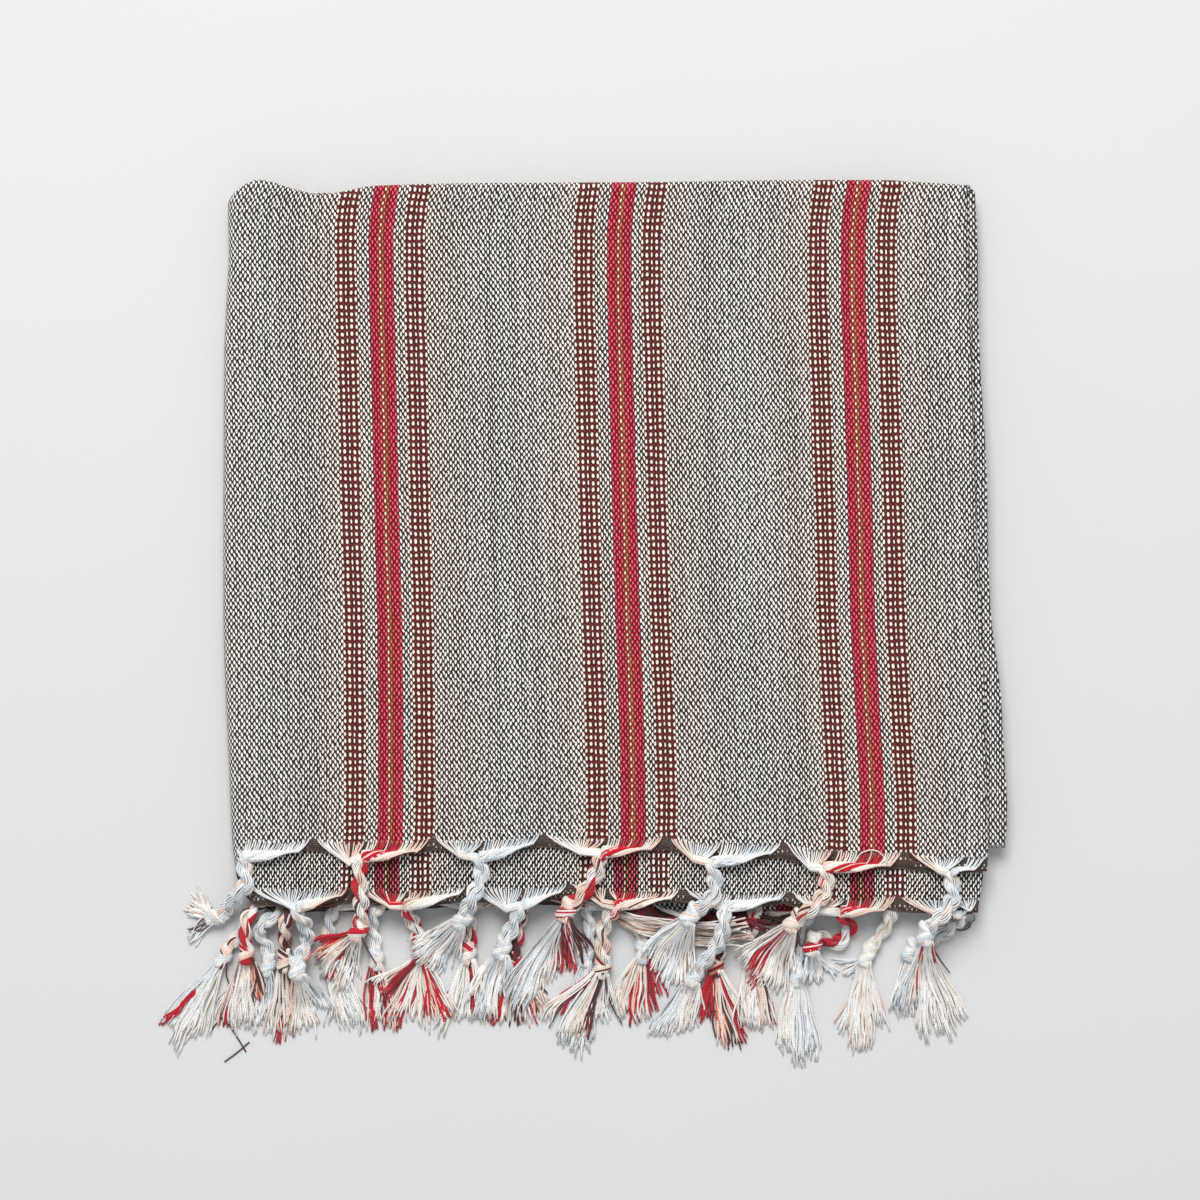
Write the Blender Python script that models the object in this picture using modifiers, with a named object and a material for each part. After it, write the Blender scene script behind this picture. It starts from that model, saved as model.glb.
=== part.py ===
"""Hammam towel, folded in quarters along its length and then once across, with a knotted fringe at both ends.

The woven cloth is one sheet that goes back and forth: hem A, outer crease, lower fold, inner crease,
hem B. That four-layer section is bent round the soft fold at the left, so each hem shows on the upper
half and lies again on the lower half. Each of these four hem ends carries seven two-ply cords, each with
a gathered feeder, a knot and a loose tassel.

Lengths in the tables are millimetres. +X runs across the towel, +Y towards the creases, -Y towards the
fringe, and the towel lies on the plane z = 0.
"""

import math
import random
from collections import namedtuple

import bmesh
import bpy
import numpy as np

MM = 0.001

# The cloth
THICK = 1.4  # one layer
PITCH = 2.4  # from one layer to the next
INNER = 1.6  # bend radius of the innermost layer at the left fold
STACK = INNER + 3 * PITCH  # bend radius of the outermost layer there
MID = THICK / 2 + STACK  # height of the plane between the upper and lower half
FOLD_C = -134.0  # where the under layers turn back
SWELL = 0.9  # soft unevenness of the upper half
SAG = 1.5  # how far the upper hems sink beyond the under layers

# The fringe
GAP = 0.3  # parting between the cloth's edge and the strip that the fringe grows from
CLEAR = 0.4  # least height of one yarn bundle above what it lies on
STRIP = 2.6  # width of that strip
SQUASH = 0.75  # cords and knots lie a little flattened
FEED_LEN = 40.0  # how far a feeder runs along the hem
FEED_R = (0.8, 2.2)  # its radius at the thin and at the thick end
STRANDS = 7  # locks in one tassel
STRAND_R = (1.1, 1.3, 1.2, 1.0)  # their radius from root to tip
SLOPE = 0.9  # steepest rise or fall of a cord
TWIST = math.radians(60)  # turn of the two plies from one cord ring to the next

# Outline of the folded cloth, from the creases down to the hems
Edge = namedtuple("Edge", "y left right_front right_under")
EDGES = (
    (265, -209, 231.0, 235.0),
    (230, -211, 232.0, 236.5),
    (200, -214, 233.0, 237.5),
    (165, -215.5, 234.0, 239.0),
    (75, -216, 236.7, 242.4),
    (0, -216, 239.5, 246.0),
    (-35, -215, 241.5, 250.0),
    (-75, -213, 242.5, 252.5),
    (-113, -211.5, 243.5, 256.2),
    (-134, -210.6, 244.0, 254.0),
    (-150, -208.3, 243.5, 254.0),
    (-172, -205, 240.0, 254.0),
)

# Creases and hems from the left fold to the selvedge: first the upper half
Level = namedtuple("Level", "along top hem_a hem_b")
UPPER = (
    (0, 259.0, -132.5, -165.0),
    (13, 265.8, -133.0, -165.5),
    (31, 263.0, -132.5, -166.0),
    (52, 257.4, -131.5, -165.5),
    (79, 262.8, -131.0, -165.0),
    (127, 264.3, -130.5, -165.0),
    (193, 264.6, -130.0, -164.5),
    (265, 265.2, -134.5, -166.0),
    (337, 266.5, -139.5, -169.5),
    (397, 266.3, -144.0, -171.5),
    (447, 263.2, -147.5, -172.5),
)

# The lower half lies under the upper one, all but the end of hem A
LOWER = (
    (0, 257.0, -164.0, -150.0),
    (22, 259.0, -172.0, -151.0),
    (60, 260.0, -160.0, -151.0),
    (140, 261.0, -160.0, -150.0),
    (225, 261.0, -163.0, -150.0),
    (262, 261.0, -174.0, -151.0),
    (330, 261.0, -163.0, -152.0),
    (438, 259.0, -162.0, -152.0),
)
TURN_STEPS = 6  # facets round the left fold
TURN_DIP = 4.5  # how far the creases draw in at its outermost line

ROWS_Y = (-70.0, 10.0, 100.0, 190.0)  # where every layer has a row of points
CREASE_STEPS = (6, 4, 4)  # facets round the outer crease, the lower fold and the inner crease

# Tassels: where the cord leaves the hem, its knot, the middle of the tassel's tips and their spread
Tassel = namedtuple("Tassel", "root_x knot_x knot_y tip_x tip_y spread")
TASSELS = {
    "fringe_a_lower": (
        (-192, -215, -200, -241, -250, 26),
        (-177, -189, -206, -201, -244, 30),
        (-148, -151, -196, -142, -239, 20),
        (-72, -67, -197, -64, -241, 22),
        (2, 4, -196, -4, -255, 26),
        (80, 83, -203, 83, -252, 26),
        (140, 129, -212, 131, -265, 26),
    ),
    "fringe_b_lower": (
        (-187, -203, -202, -210, -245, 18),
        (-171, -179, -199, -183, -252, 18),
        (-114, -124, -200, -122, -245, 20),
        (-31, -41, -205, -46, -241, 22),
        (35, 24, -196, 38, -236, 24),
        (110, 98, -202, 105, -245, 22),
        (179, 172, -199, 170, -254, 28),
    ),
    "fringe_b_upper": (
        (-172, -171, -205, -162, -242, 28),
        (-106, -96, -197, -85, -239, 30),
        (-36, -48, -192, -54, -230, 27),
        (21, 13, -205, -4, -245, 46),
        (86, 68, -212, 58, -247, 24),
        (155, 154, -193, 144, -217, 20),
        (230, 206, -196, 194, -235, 18),
    ),
    "fringe_a_upper": (
        (-198, -219, -176, -239, -184, 18),
        (-128, -133, -181, -142, -232, 30),
        (-61, -70, -176, -94, -205, 22),
        (12, -7, -173, -25, -217, 42),
        (78, 66, -175, 52, -217, 27),
        (144, 129, -178, 108, -217, 30),
        (220, 210, -182, 218, -250, 29),
    ),
}
CORD_R = {"fringe_a_lower": 4.6, "fringe_b_lower": 4.6, "fringe_b_upper": 5.4, "fringe_a_upper": 5.6}
KNOT_R = {"fringe_a_lower": 5.6, "fringe_b_lower": 5.6, "fringe_b_upper": 6.4, "fringe_a_upper": 6.8}

COLOURS = {
    "cloth": (0.42, 0.40, 0.38),
    "fringe_a_upper": (0.78, 0.74, 0.70),
    "fringe_b_upper": (0.70, 0.72, 0.74),
    "fringe_b_lower": (0.72, 0.60, 0.55),
    "fringe_a_lower": (0.66, 0.42, 0.40),
}

random.seed(28)


EDGE = Edge(*np.array(EDGES, dtype=float)[::-1].T)  # one array for each column, y rising


def smooth(t):
    """Eased 0 to 1."""
    t = min(max(t, 0.0), 1.0)
    return t * t * (3 - 2 * t)


# ---------------------------------------------------------------- the cloth


def crossings():
    """The stations across the towel, from the upper selvedge round the left fold to the lower one.

    Each is (half, share of the way to the selvedge, angle round the fold, creases and hems there).
    """
    upper_rows = [Level(*row) for row in UPPER]
    lower_rows = [Level(*row) for row in LOWER]
    out = []
    for level in reversed(upper_rows):
        out.append(("upper", level.along / upper_rows[-1].along, 90.0, level))
    for i in range(1, TURN_STEPS):
        t = i / TURN_STEPS
        between = Level(*(a + (b - a) * t for a, b in zip(upper_rows[0], lower_rows[0])))
        out.append(("turn", 0.0, 90.0 - 180.0 * t, between))
    for level in lower_rows:
        out.append(("lower", level.along / lower_rows[-1].along, -90.0, level))
    return out


def path(level):
    """The back-and-forth section at one station.

    Each point is (y, distance from the left fold's axis, how much it belongs to the under layers).
    """
    wide = 1.5 * PITCH
    tight = 0.5 * PITCH
    y_top = level.top - wide
    y_low = FOLD_C + tight
    out = []
    bend = FOLD_C + 8.0
    for y in (level.hem_a, (level.hem_a + bend) / 2, bend, *ROWS_Y):
        out.append((y, STACK, 0.0))
    for i in range(CREASE_STEPS[0]):
        a = math.pi * i / CREASE_STEPS[0]
        out.append((y_top + wide * math.sin(a), INNER + wide + wide * math.cos(a), i / CREASE_STEPS[0]))
    for y in (y_top, *reversed(ROWS_Y)):
        out.append((y, INNER, 1.0))
    for i in range(CREASE_STEPS[1]):
        a = math.pi * i / CREASE_STEPS[1]
        out.append((y_low - tight * math.sin(a), INNER + tight - tight * math.cos(a), 1.0))
    for y in (y_low, *ROWS_Y):
        out.append((y, INNER + PITCH, 1.0))
    for i in range(CREASE_STEPS[2]):
        a = math.pi * i / CREASE_STEPS[2]
        out.append((y_top + tight * math.sin(a), INNER + wide - tight * math.cos(a), 1 - i / CREASE_STEPS[2]))
    for y in (y_top, *reversed(ROWS_Y), FOLD_C + 2.0, (FOLD_C + level.hem_b) / 2, level.hem_b):
        out.append((y, INNER + 2 * PITCH, 0.0))
    return out


def place(half, share, angle, y, dist, under):
    """Where one point of the sheet's middle lies."""
    left = np.interp(y, EDGE.y, EDGE.left) + STACK + THICK / 2
    front = np.interp(y, EDGE.y, EDGE.right_front)
    back = np.interp(y, EDGE.y, EDGE.right_under)
    right = front + (back - front) * under
    if half == "lower":
        right = min(right, 232.0) - 2.0
    a = math.radians(angle)
    y -= TURN_DIP * math.cos(a) * dist / STACK * smooth((y - 150) / 110)
    x = left - dist * math.cos(a) + share * (right - left)
    z = MID + dist * math.sin(a)
    if half == "upper":
        near = smooth(share * 6)
        wave = math.sin(x / 41 + 0.6) * math.cos(y / 58 - 0.5) + 0.6 * math.sin(x / 90 - y / 70)
        z += near * SWELL * (0.8 + 0.5 * wave)
        z -= near * SAG * smooth((FOLD_C + 4 - y) / 34) * (1 - under)
    return (x, y, z)


def cloth_grid():
    """Points of the sheet's middle, one row of them for each station."""
    grid = []
    for half, share, angle, level in crossings():
        grid.append([place(half, share, angle, *p) for p in path(level)])
    return np.array(grid)


def new_object(name, points, faces, collection):
    """A mesh object from points in millimetres."""
    mesh = bpy.data.meshes.new(name)
    mesh.from_pydata([tuple(float(c) * MM for c in p) for p in points], [], faces)
    mesh.validate()
    obj = bpy.data.objects.new(name, mesh)
    collection.objects.link(obj)
    return obj


def close_up(obj):
    """Makes the faces of a closed mesh flat triangles that point out of it."""
    bm = bmesh.new()
    bm.from_mesh(obj.data)
    bmesh.ops.triangulate(bm, faces=bm.faces)
    bmesh.ops.recalc_face_normals(bm, faces=bm.faces)
    bm.to_mesh(obj.data)
    bm.free()


def sheet(name, grid, collection):
    """A thin sheet from a grid of middle points, thickened by Solidify."""
    rows, cols = grid.shape[:2]
    points = grid.reshape(-1, 3)
    faces = []
    for i in range(rows - 1):
        for j in range(cols - 1):
            k = i * cols + j
            faces.append((k, k + 1, k + cols + 1, k + cols))
    obj = new_object(name, points, faces, collection)
    obj.data.shade_smooth()
    solid = obj.modifiers.new("Thickness", "SOLIDIFY")
    solid.thickness = THICK * MM
    solid.offset = 0.0
    solid.use_even_offset = True
    solid.use_quality_normals = True
    return obj


def material(name, colour, rough=0.92):
    """Cotton yarn."""
    mat = bpy.data.materials.new(name)
    mat.use_nodes = True
    shader = mat.node_tree.nodes["Principled BSDF"]
    shader.inputs["Base Color"].default_value = (*colour, 1.0)
    shader.inputs["Roughness"].default_value = rough
    shader.inputs["Metallic"].default_value = 0.0
    return mat


# ---------------------------------------------------------------- what the fringe lies on

CELL = 1.0
GRID_X = np.arange(-285.0, 285.0, CELL)
GRID_Y = np.arange(-285.0, -105.0, CELL)
# Top of what lies at each spot, -1 where only the floor does
heights = np.full((len(GRID_X), len(GRID_Y)), -1.0)


def around(x, y, reach):
    """The spots within reach of a point, and how far each is at least."""
    i0, i1 = np.searchsorted(GRID_X, (x - reach - CELL, x + reach + CELL))
    j0, j1 = np.searchsorted(GRID_Y, (y - reach - CELL, y + reach + CELL))
    dx = GRID_X[i0:i1, None] - x
    dy = GRID_Y[None, j0:j1] - y
    dist = np.maximum(np.hypot(dx, dy) - 0.7 * CELL, 0.0)
    return slice(i0, i1), slice(j0, j1), dist


def lowest(x, y, r, squash):
    """The lowest height for the middle of a bundle of radius r at a point."""
    si, sj, dist = around(x, y, r)
    inside = (dist < r) & (heights[si, sj] >= 0)
    if not inside.any():
        return -1.0
    bulge = squash * np.sqrt(np.maximum(r * r - dist * dist, 0.0))
    return float((heights[si, sj] + bulge)[inside].max() + CLEAR)


def lay_down(points, radii, squash):
    """Adds a bundle to what the next ones lie on."""
    for p, q, r0, r1 in zip(points[:-1], points[1:], radii[:-1], radii[1:]):
        steps = max(1, int(math.dist(p[:2], q[:2]) / 0.8))
        for s in range(steps + 1):
            t = s / steps
            x, y, z = (a + (b - a) * t for a, b in zip(p, q))
            r = r0 + (r1 - r0) * t
            si, sj, dist = around(x, y, r)
            bulge = z + squash * np.sqrt(np.maximum(r * r - dist * dist, 0.0))
            heights[si, sj] = np.where(dist < r, np.maximum(heights[si, sj], bulge), heights[si, sj])


def lay_cloth(grid, stations, first, last, turn=0.0):
    """Adds the top of one layer of the cloth near its hem, and of its turn round the left fold."""
    part = grid[stations][:, first:last + 1]
    if turn > 0:
        bend = [(x, y, MID) for x, y, z in part[np.argmin(part[:, 0, 0])]]
        bend.sort(key=lambda p: p[1])
        lay_down(bend, [turn + THICK / 2] * len(bend), 1.0)
    part = part[np.argsort(part[:, 0, 0])]
    rows_y = np.empty((part.shape[1], len(GRID_X)))
    rows_z = np.empty_like(rows_y)
    for j in range(part.shape[1]):
        rows_y[j] = np.interp(GRID_X, part[:, j, 0], part[:, j, 1], left=999, right=999)
        rows_z[j] = np.interp(GRID_X, part[:, j, 0], part[:, j, 2])
    for i in range(len(GRID_X)):
        order = np.argsort(rows_y[:, i])
        ys = rows_y[order, i]
        top = np.interp(GRID_Y, ys, rows_z[order, i]) + THICK / 2
        on = GRID_Y > ys[0] - CELL
        heights[i] = np.where(on, np.maximum(heights[i], top), heights[i])


def settle(flat, radii, squash, floor, start_z):
    """Heights of a bundle that lies on what is below it, never steeper than SLOPE."""
    count = len(flat)
    need = [max(lowest(x, y, r, squash), f) for (x, y), r, f in zip(flat, radii, floor)]
    for i in range(count - 1):
        p, q = flat[i], flat[i + 1]
        steps = max(1, int(math.dist(p, q)))
        for s in range(1, steps):
            t = s / steps
            x = p[0] + (q[0] - p[0]) * t
            y = p[1] + (q[1] - p[1]) * t
            r = radii[i] + (radii[i + 1] - radii[i]) * t
            z = lowest(x, y, r, squash)
            need[i] = max(need[i], z)
            need[i + 1] = max(need[i + 1], z)
    z = need[:]
    z[0] = start_z
    for i in range(1, count):
        z[i] = max(need[i], z[i - 1] - SLOPE * math.dist(flat[i - 1], flat[i]))
    for i in range(count - 2, 0, -1):
        z[i] = max(z[i], z[i + 1] - SLOPE * math.dist(flat[i], flat[i + 1]))
    return z


# ---------------------------------------------------------------- bundles of yarn


def loft(name, centres, sections, collection):
    """A closed tube through rings of points; each section gives (angle, radius, squash) for one ring."""
    centres = np.array(centres)
    points = []
    for i, (c, section) in enumerate(zip(centres, sections)):
        ahead = centres[min(i + 1, len(centres) - 1)] - centres[max(i - 1, 0)]
        ahead = ahead / np.linalg.norm(ahead)
        side = np.cross(ahead, (0.0, 0.0, 1.0))
        side = side / np.linalg.norm(side)
        up = np.cross(side, ahead)
        for angle, r, squash in section:
            points.append(c + side * (r * math.cos(angle)) + up * (squash * r * math.sin(angle)))
    n = len(sections[0])
    faces = [tuple(range(n))]
    for i in range(len(sections) - 1):
        for k in range(n):
            a = i * n + k
            b = i * n + (k + 1) % n
            faces.append((a, b, b + n, a + n))
    faces.append(tuple(range((len(sections) - 1) * n, len(sections) * n)))
    obj = new_object(name, points, faces, collection)
    close_up(obj)
    obj.data.shade_smooth()
    return obj


def ring(n, r, squash=1.0, turn=0.0, lobes=0.0):
    """One ring of a bundle; lobes draws it out into two plies at the angle turn."""
    out = []
    for k in range(n):
        a = turn + 2 * math.pi * k / n
        out.append((a, r * (1 - lobes + lobes * math.cos(2 * (a - turn))), squash))
    return out


def curve(p, c, q, steps):
    """Points of a quadratic curve."""
    out = []
    for i in range(steps + 1):
        t = i / steps
        out.append(tuple((1 - t) ** 2 * a + 2 * t * (1 - t) * b + t * t * d for a, b, d in zip(p, c, q)))
    return out


def lowest_hem(hem, x, reach=13.0):
    """How far the hem comes out near x."""
    near = np.linspace(x - reach, x + reach, 5)
    return float(np.interp(near, hem[:, 0], hem[:, 1]).min())


def tassel(row, number, spec, hem, parts):
    """Cord, knot, feeder and strands of one tassel, as closed bodies in the collection parts."""
    root_x, knot_x, knot_y, tip_x, tip_y, spread = spec
    tag = f"{row}_{number}"
    hem_y = float(np.interp(root_x, hem[:, 0], hem[:, 1]))
    hem_z = float(np.interp(root_x, hem[:, 0], hem[:, 2]))
    cord_r = CORD_R[row]
    knot_r = KNOT_R[row]

    # The cord leaves the strip square to the hem and bends towards its knot
    start = (root_x, hem_y - GAP - 1.3)
    bend = (root_x + 0.1 * (knot_x - root_x), start[1] + 0.55 * (knot_y - start[1]))
    flat = curve(start, bend, (knot_x, knot_y), 7)
    radii = [cord_r * min(1.0, 0.22 + 0.55 * i) for i in range(8)]
    floor = [r * SQUASH for r in radii]
    z = settle(flat, radii, SQUASH, floor, hem_z)
    z[0] = hem_z
    cord = [(x, y, h) for (x, y), h in zip(flat, z)]
    sections = []
    for i, r in enumerate(radii):
        lobes = 0.0 if i == 0 else 0.27
        sections.append(ring(6, r, SQUASH, TWIST * i, lobes))

    # The knot is a lump at the cord's end
    dx = tip_x - knot_x
    dy = tip_y - knot_y
    length = math.hypot(dx, dy)
    ux, uy = dx / length, dy / length
    lump = [(knot_x + ux * s, knot_y + uy * s) for s in (1.5, 5.5, 9.5)]
    lump_r = [knot_r * 0.9, knot_r, knot_r * 0.8]
    end_r = [cord_r] + lump_r
    lump_z = settle([flat[-1]] + lump, end_r, SQUASH, [r * SQUASH for r in end_r], z[-1])
    top = max(lump_z[1:3])
    lump_z = [top, top, top]
    for p, h, r in zip(lump, lump_z, lump_r):
        cord.append((p[0], p[1], h))
        sections.append(ring(6, r, SQUASH, TWIST * 8))
    radii = radii + lump_r
    loft(f"cord_{tag}", cord, sections, parts)

    # The feeder gathers the warp on the right of the cord
    feed = []
    feed_r = []
    for i in range(4):
        t = i / 3
        r = FEED_R[0] + (FEED_R[1] - FEED_R[0]) * t
        x = min(root_x + FEED_LEN * (1 - t) ** 1.1, hem[-1, 0] - 2.0 + t)
        y = lowest_hem(hem, x) - GAP - (0.6 if i == 0 else STRIP + 0.5 + r)
        feed.append((x, y))
        feed_r.append(r)
    feed_start = float(np.interp(feed[0][0], hem[:, 0], hem[:, 2]))
    feed_z = settle(feed, feed_r, SQUASH, [r * SQUASH for r in feed_r], feed_start)
    feed_line = [(x, y, h) for (x, y), h in zip(feed, feed_z)]
    loft(f"feeder_{tag}", feed_line, [ring(4, r, SQUASH, math.pi / 4) for r in feed_r], parts)

    # The loose strands fan out of the knot
    fan = []
    centre = (knot_x + ux * 7.5, knot_y + uy * 7.5)
    for k in range(STRANDS):
        t = k / (STRANDS - 1) - 0.5
        reach = 1.0 + random.uniform(-0.09, 0.06) - 0.25 * t * t
        across = 1.3 * knot_r * t
        begin = (centre[0] - uy * across, centre[1] + ux * across)
        end = (knot_x + dx * reach - uy * spread * t, knot_y + dy * reach + ux * spread * t)
        open_t = t * (0.75 + random.uniform(-0.1, 0.1))
        mid = (
            (begin[0] + end[0]) / 2 - uy * spread * open_t * 0.45,
            (begin[1] + end[1]) / 2 + ux * spread * open_t * 0.45,
        )
        line = curve(begin, mid, end, 3)
        h = settle(line, STRAND_R, 1.0, [r / 2 for r in STRAND_R], lump_z[1] + 1.3 * (2 * (k % 2) - 1))
        strand = [(x, y, hh) for (x, y), hh in zip(line, h)]
        loft(f"strand_{tag}_{k + 1}", strand, [ring(3, r, 1.0, math.pi / 2) for r in STRAND_R], parts)
        fan.append(strand)

    lay_down(cord, radii, SQUASH)
    lay_down(feed_line, feed_r, SQUASH)
    for strand in fan:
        lay_down(strand, STRAND_R, 1.0)


def fringe(row, hem, collection):
    """One hem's fringe: a narrow strip along the hem with its seven tassels, joined into one body."""
    parts = bpy.data.collections.new(f"{row}_bundles")
    joined.children.link(parts)
    for number, spec in enumerate(TASSELS[row], 1):
        tassel(row, number, Tassel(*spec), hem, parts)
    for obj in parts.objects:
        obj.hide_render = True
        obj.display_type = "WIRE"

    xs = [hem[0, 0] + 0.5]
    for x0, x1 in zip(hem[:-1, 0], hem[1:, 0]):
        steps = max(1, round((x1 - x0) / 24))
        xs += [x0 + (x1 - x0) * (i + 1) / steps for i in range(steps)]
    xs[-1] -= 0.5
    grid = []
    for x in xs:
        y = float(np.interp(x, hem[:, 0], hem[:, 1])) - GAP
        z = float(np.interp(x, hem[:, 0], hem[:, 2]))
        grid.append([(x, y, z), (x, y - STRIP, z)])
    strip = sheet(row, np.array(grid), collection)
    strip.modifiers.new("Facets", "TRIANGULATE")
    join = strip.modifiers.new("Fringe", "BOOLEAN")
    join.operation = "UNION"
    join.operand_type = "COLLECTION"
    join.collection = parts
    join.solver = "MANIFOLD"
    strip.modifiers.new("Joined facets", "TRIANGULATE")
    strip.data.materials.append(material(f"{row}_yarn", COLOURS[row]))
    return strip


# ---------------------------------------------------------------- the towel

for old in list(bpy.data.objects):
    bpy.data.objects.remove(old, do_unlink=True)

towel = bpy.data.collections.new("hammam_towel")
bpy.context.scene.collection.children.link(towel)
joined = bpy.data.collections.new("joined_bundles")
bpy.context.scene.collection.children.link(joined)

grid = cloth_grid()
stations = crossings()
upper = [i for i, s in enumerate(stations) if s[0] == "upper"]
lower = [i for i, s in enumerate(stations) if s[0] == "lower"]
last = grid.shape[1] - 1

cloth = sheet("cloth", grid, towel)
cloth.data.materials.append(material("cloth_weave", COLOURS["cloth"]))


def hem_line(indices, column):
    """The cloth's edge along one hem, from left to right."""
    line = grid[indices, column]
    return line[np.argsort(line[:, 0])]


fringe("fringe_a_lower", hem_line(lower, 0), towel)
lay_cloth(grid, lower, 0, 2)
fringe("fringe_b_lower", hem_line(lower, last), towel)
lay_cloth(grid, lower, last - 2, last)
fringe("fringe_b_upper", hem_line(upper, last), towel)
lay_cloth(grid, upper, last - 2, last, INNER + 2 * PITCH)
fringe("fringe_a_upper", hem_line(upper, 0), towel)

# The origin goes to the middle of the towel's footprint, on the plane that it lies on
bpy.context.view_layer.update()
graph = bpy.context.evaluated_depsgraph_get()
corners = []
for obj in towel.objects:
    shape = obj.evaluated_get(graph).to_mesh()
    corners += [v.co.copy() for v in shape.vertices]
    obj.evaluated_get(graph).to_mesh_clear()
corners = np.array(corners)
middle = (corners.min(axis=0) + corners.max(axis=0)) / 2
for obj in list(towel.objects) + [o for c in joined.children for o in c.objects]:
    obj.location = (-float(middle[0]), -float(middle[1]), -float(corners[:, 2].min()))
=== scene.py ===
"""Looks of the folded hammam towel: woven cloth, gathered hems, two-ply cords, knots and loose tassels.

Lengths in the tables are millimetres in the source's own frame, whose origin lies FOOT from the row frame's.
"""
import math
from collections import namedtuple

import bpy
import numpy as np
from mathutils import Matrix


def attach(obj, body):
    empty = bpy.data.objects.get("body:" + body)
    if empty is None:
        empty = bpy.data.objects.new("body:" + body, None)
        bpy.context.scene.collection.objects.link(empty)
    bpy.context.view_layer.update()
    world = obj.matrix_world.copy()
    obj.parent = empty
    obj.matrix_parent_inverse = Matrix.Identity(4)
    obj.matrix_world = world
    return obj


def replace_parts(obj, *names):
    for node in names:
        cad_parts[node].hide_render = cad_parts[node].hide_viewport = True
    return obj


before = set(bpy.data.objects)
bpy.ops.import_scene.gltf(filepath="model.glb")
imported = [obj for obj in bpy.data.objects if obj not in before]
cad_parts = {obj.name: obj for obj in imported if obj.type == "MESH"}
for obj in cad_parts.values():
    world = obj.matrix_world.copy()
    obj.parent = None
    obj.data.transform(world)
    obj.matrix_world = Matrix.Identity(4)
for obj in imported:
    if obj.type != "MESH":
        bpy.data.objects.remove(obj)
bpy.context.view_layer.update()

MM = 0.001
FOOT = np.array((2.2, 0.92, 0.0))  # the middle of the footprint in the tables' frame
FULL_TURN = 2 * math.pi
rng = np.random.default_rng(28)

# ---------------------------------------------------------------- the folded sheet

THICK = 1.2  # one layer
PITCH = 2.4  # from one layer to the next
INNER = 1.6  # bend radius of the innermost layer at the left fold
STACK = INNER + 3 * PITCH  # bend radius of the outermost layer there
FAR_END = INNER + 2 * PITCH  # bend radius of the layer that ends in hem b
MID = 0.7 + STACK  # height of the plane between the upper and the lower half
FOLD_C = -134.0  # where the under layers turn back
TURN_DIP = 4.5  # how far the creases draw in at the left fold
LOWER_RIGHT = 232.0  # the lower half doesn't show past this x
STATIONS = (112, 14, 38)  # across the upper half, the left fold and the lower half
UPPER_HALF, LEFT_FOLD, LOWER_HALF = range(3)

Edge = namedtuple("Edge", "y left right_front right_under")
EDGE = Edge(*np.array((
    (265, -213.5, 231.0, 235.0), (245, -213, 231.6, 235.7), (225, -212.5, 232.2, 236.7),
    (200, -214, 233.0, 237.5), (165, -215.5, 234.0, 239.0), (75, -216, 236.7, 242.4),
    (0, -216, 239.5, 246.0), (-35, -215, 241.5, 250.0), (-75, -213, 242.5, 252.5),
    (-113, -211.5, 243.5, 256.2), (-134, -210.6, 244.0, 254.0), (-150, -208.3, 243.5, 254.0),
    (-172, -205, 240.0, 254.0),
), float).T)
# Creases and hems from the left fold to the selvedge
Level = namedtuple("Level", "along top hem_a hem_b")
UPPER = Level(*np.array((
    (0, 262.0, -134.5, -168.0), (7, 267.0, -135.5, -168.2), (15, 266.2, -136.5, -168.4),
    (29, 261.8, -137.2, -168.6), (46, 257.2, -137.2, -168.5), (60, 259.0, -136.6, -168.4),
    (79, 262.8, -136.3, -168.2), (111, 263.9, -137.2, -168.0), (145, 264.4, -136.0, -167.0),
    (179, 264.6, -134.8, -165.6), (215, 264.9, -135.4, -165.6), (255, 265.1, -137.0, -168.0),
    (290, 265.8, -139.0, -168.8), (321, 266.2, -142.0, -169.4), (360, 266.4, -145.0, -171.4),
    (397, 266.3, -148.0, -173.0), (447, 263.2, -148.5, -173.5),
), float).T)
LOWER = Level(*np.array((
    (0, 257.0, -168.0, -150.0), (10, 258.0, -173.0, -150.5), (22, 259.0, -174.0, -151.0),
    (44, 259.6, -172.0, -151.0), (66, 260.0, -174.5, -151.0), (80, 260.3, -172.0, -150.8),
    (130, 261.0, -170.0, -150.2), (170, 261.0, -168.0, -150.0), (189, 261.0, -170.0, -150.0),
    (215, 261.0, -168.5, -150.0), (232, 261.0, -170.5, -150.3), (254, 261.0, -180.0, -151.0),
    (293, 261.0, -178.5, -151.5), (317, 261.0, -182.5, -151.8), (328, 261.0, -180.0, -152.0),
    (345, 261.0, -172.0, -152.0), (400, 260.0, -172.0, -152.0), (438, 259.0, -168.0, -152.0),
), float).T)
# Where the middles of the three stripe groups run on the top layer
Stripe = namedtuple("Stripe", "y first second third")
STRIPE = Stripe(*np.array((
    (262, -117.0, 25.0, 166.0), (254, -119.2, 23.6, 164.0), (236, -121.0, 22.0, 162.2),
    (195, -120.6, 22.0, 162.2), (135, -119.0, 23.6, 164.4), (75, -117.8, 25.0, 166.2),
    (0, -115.8, 27.2, 168.0), (-45, -115.4, 29.0, 170.4), (-105, -115.2, 30.4, 173.8),
    (-150, -116.0, 30.2, 174.0),
), float).T)
UNDER_STRIPES = (-117.6, 26.0, 167.8)  # the same on the layer below it
STRIPE_U = 90.0  # distance of the first group from the left fold
REPEAT_U = 143.0  # from one group to the next
COLUMNS = 97  # warp yarns in one repeat
WARP = REPEAT_U / COLUMNS  # from one warp yarn to the next
WEFT = 2.07  # from one row to the next


def eased(t):
    t = np.clip(t, 0.0, 1.0)
    return t * t * (3 - 2 * t)


def unit(vectors, least=0.0):
    """Vectors of length one; a small least keeps it from dividing by zero."""
    return vectors / (np.linalg.norm(vectors, axis=-1, keepdims=True) + least)


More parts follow.
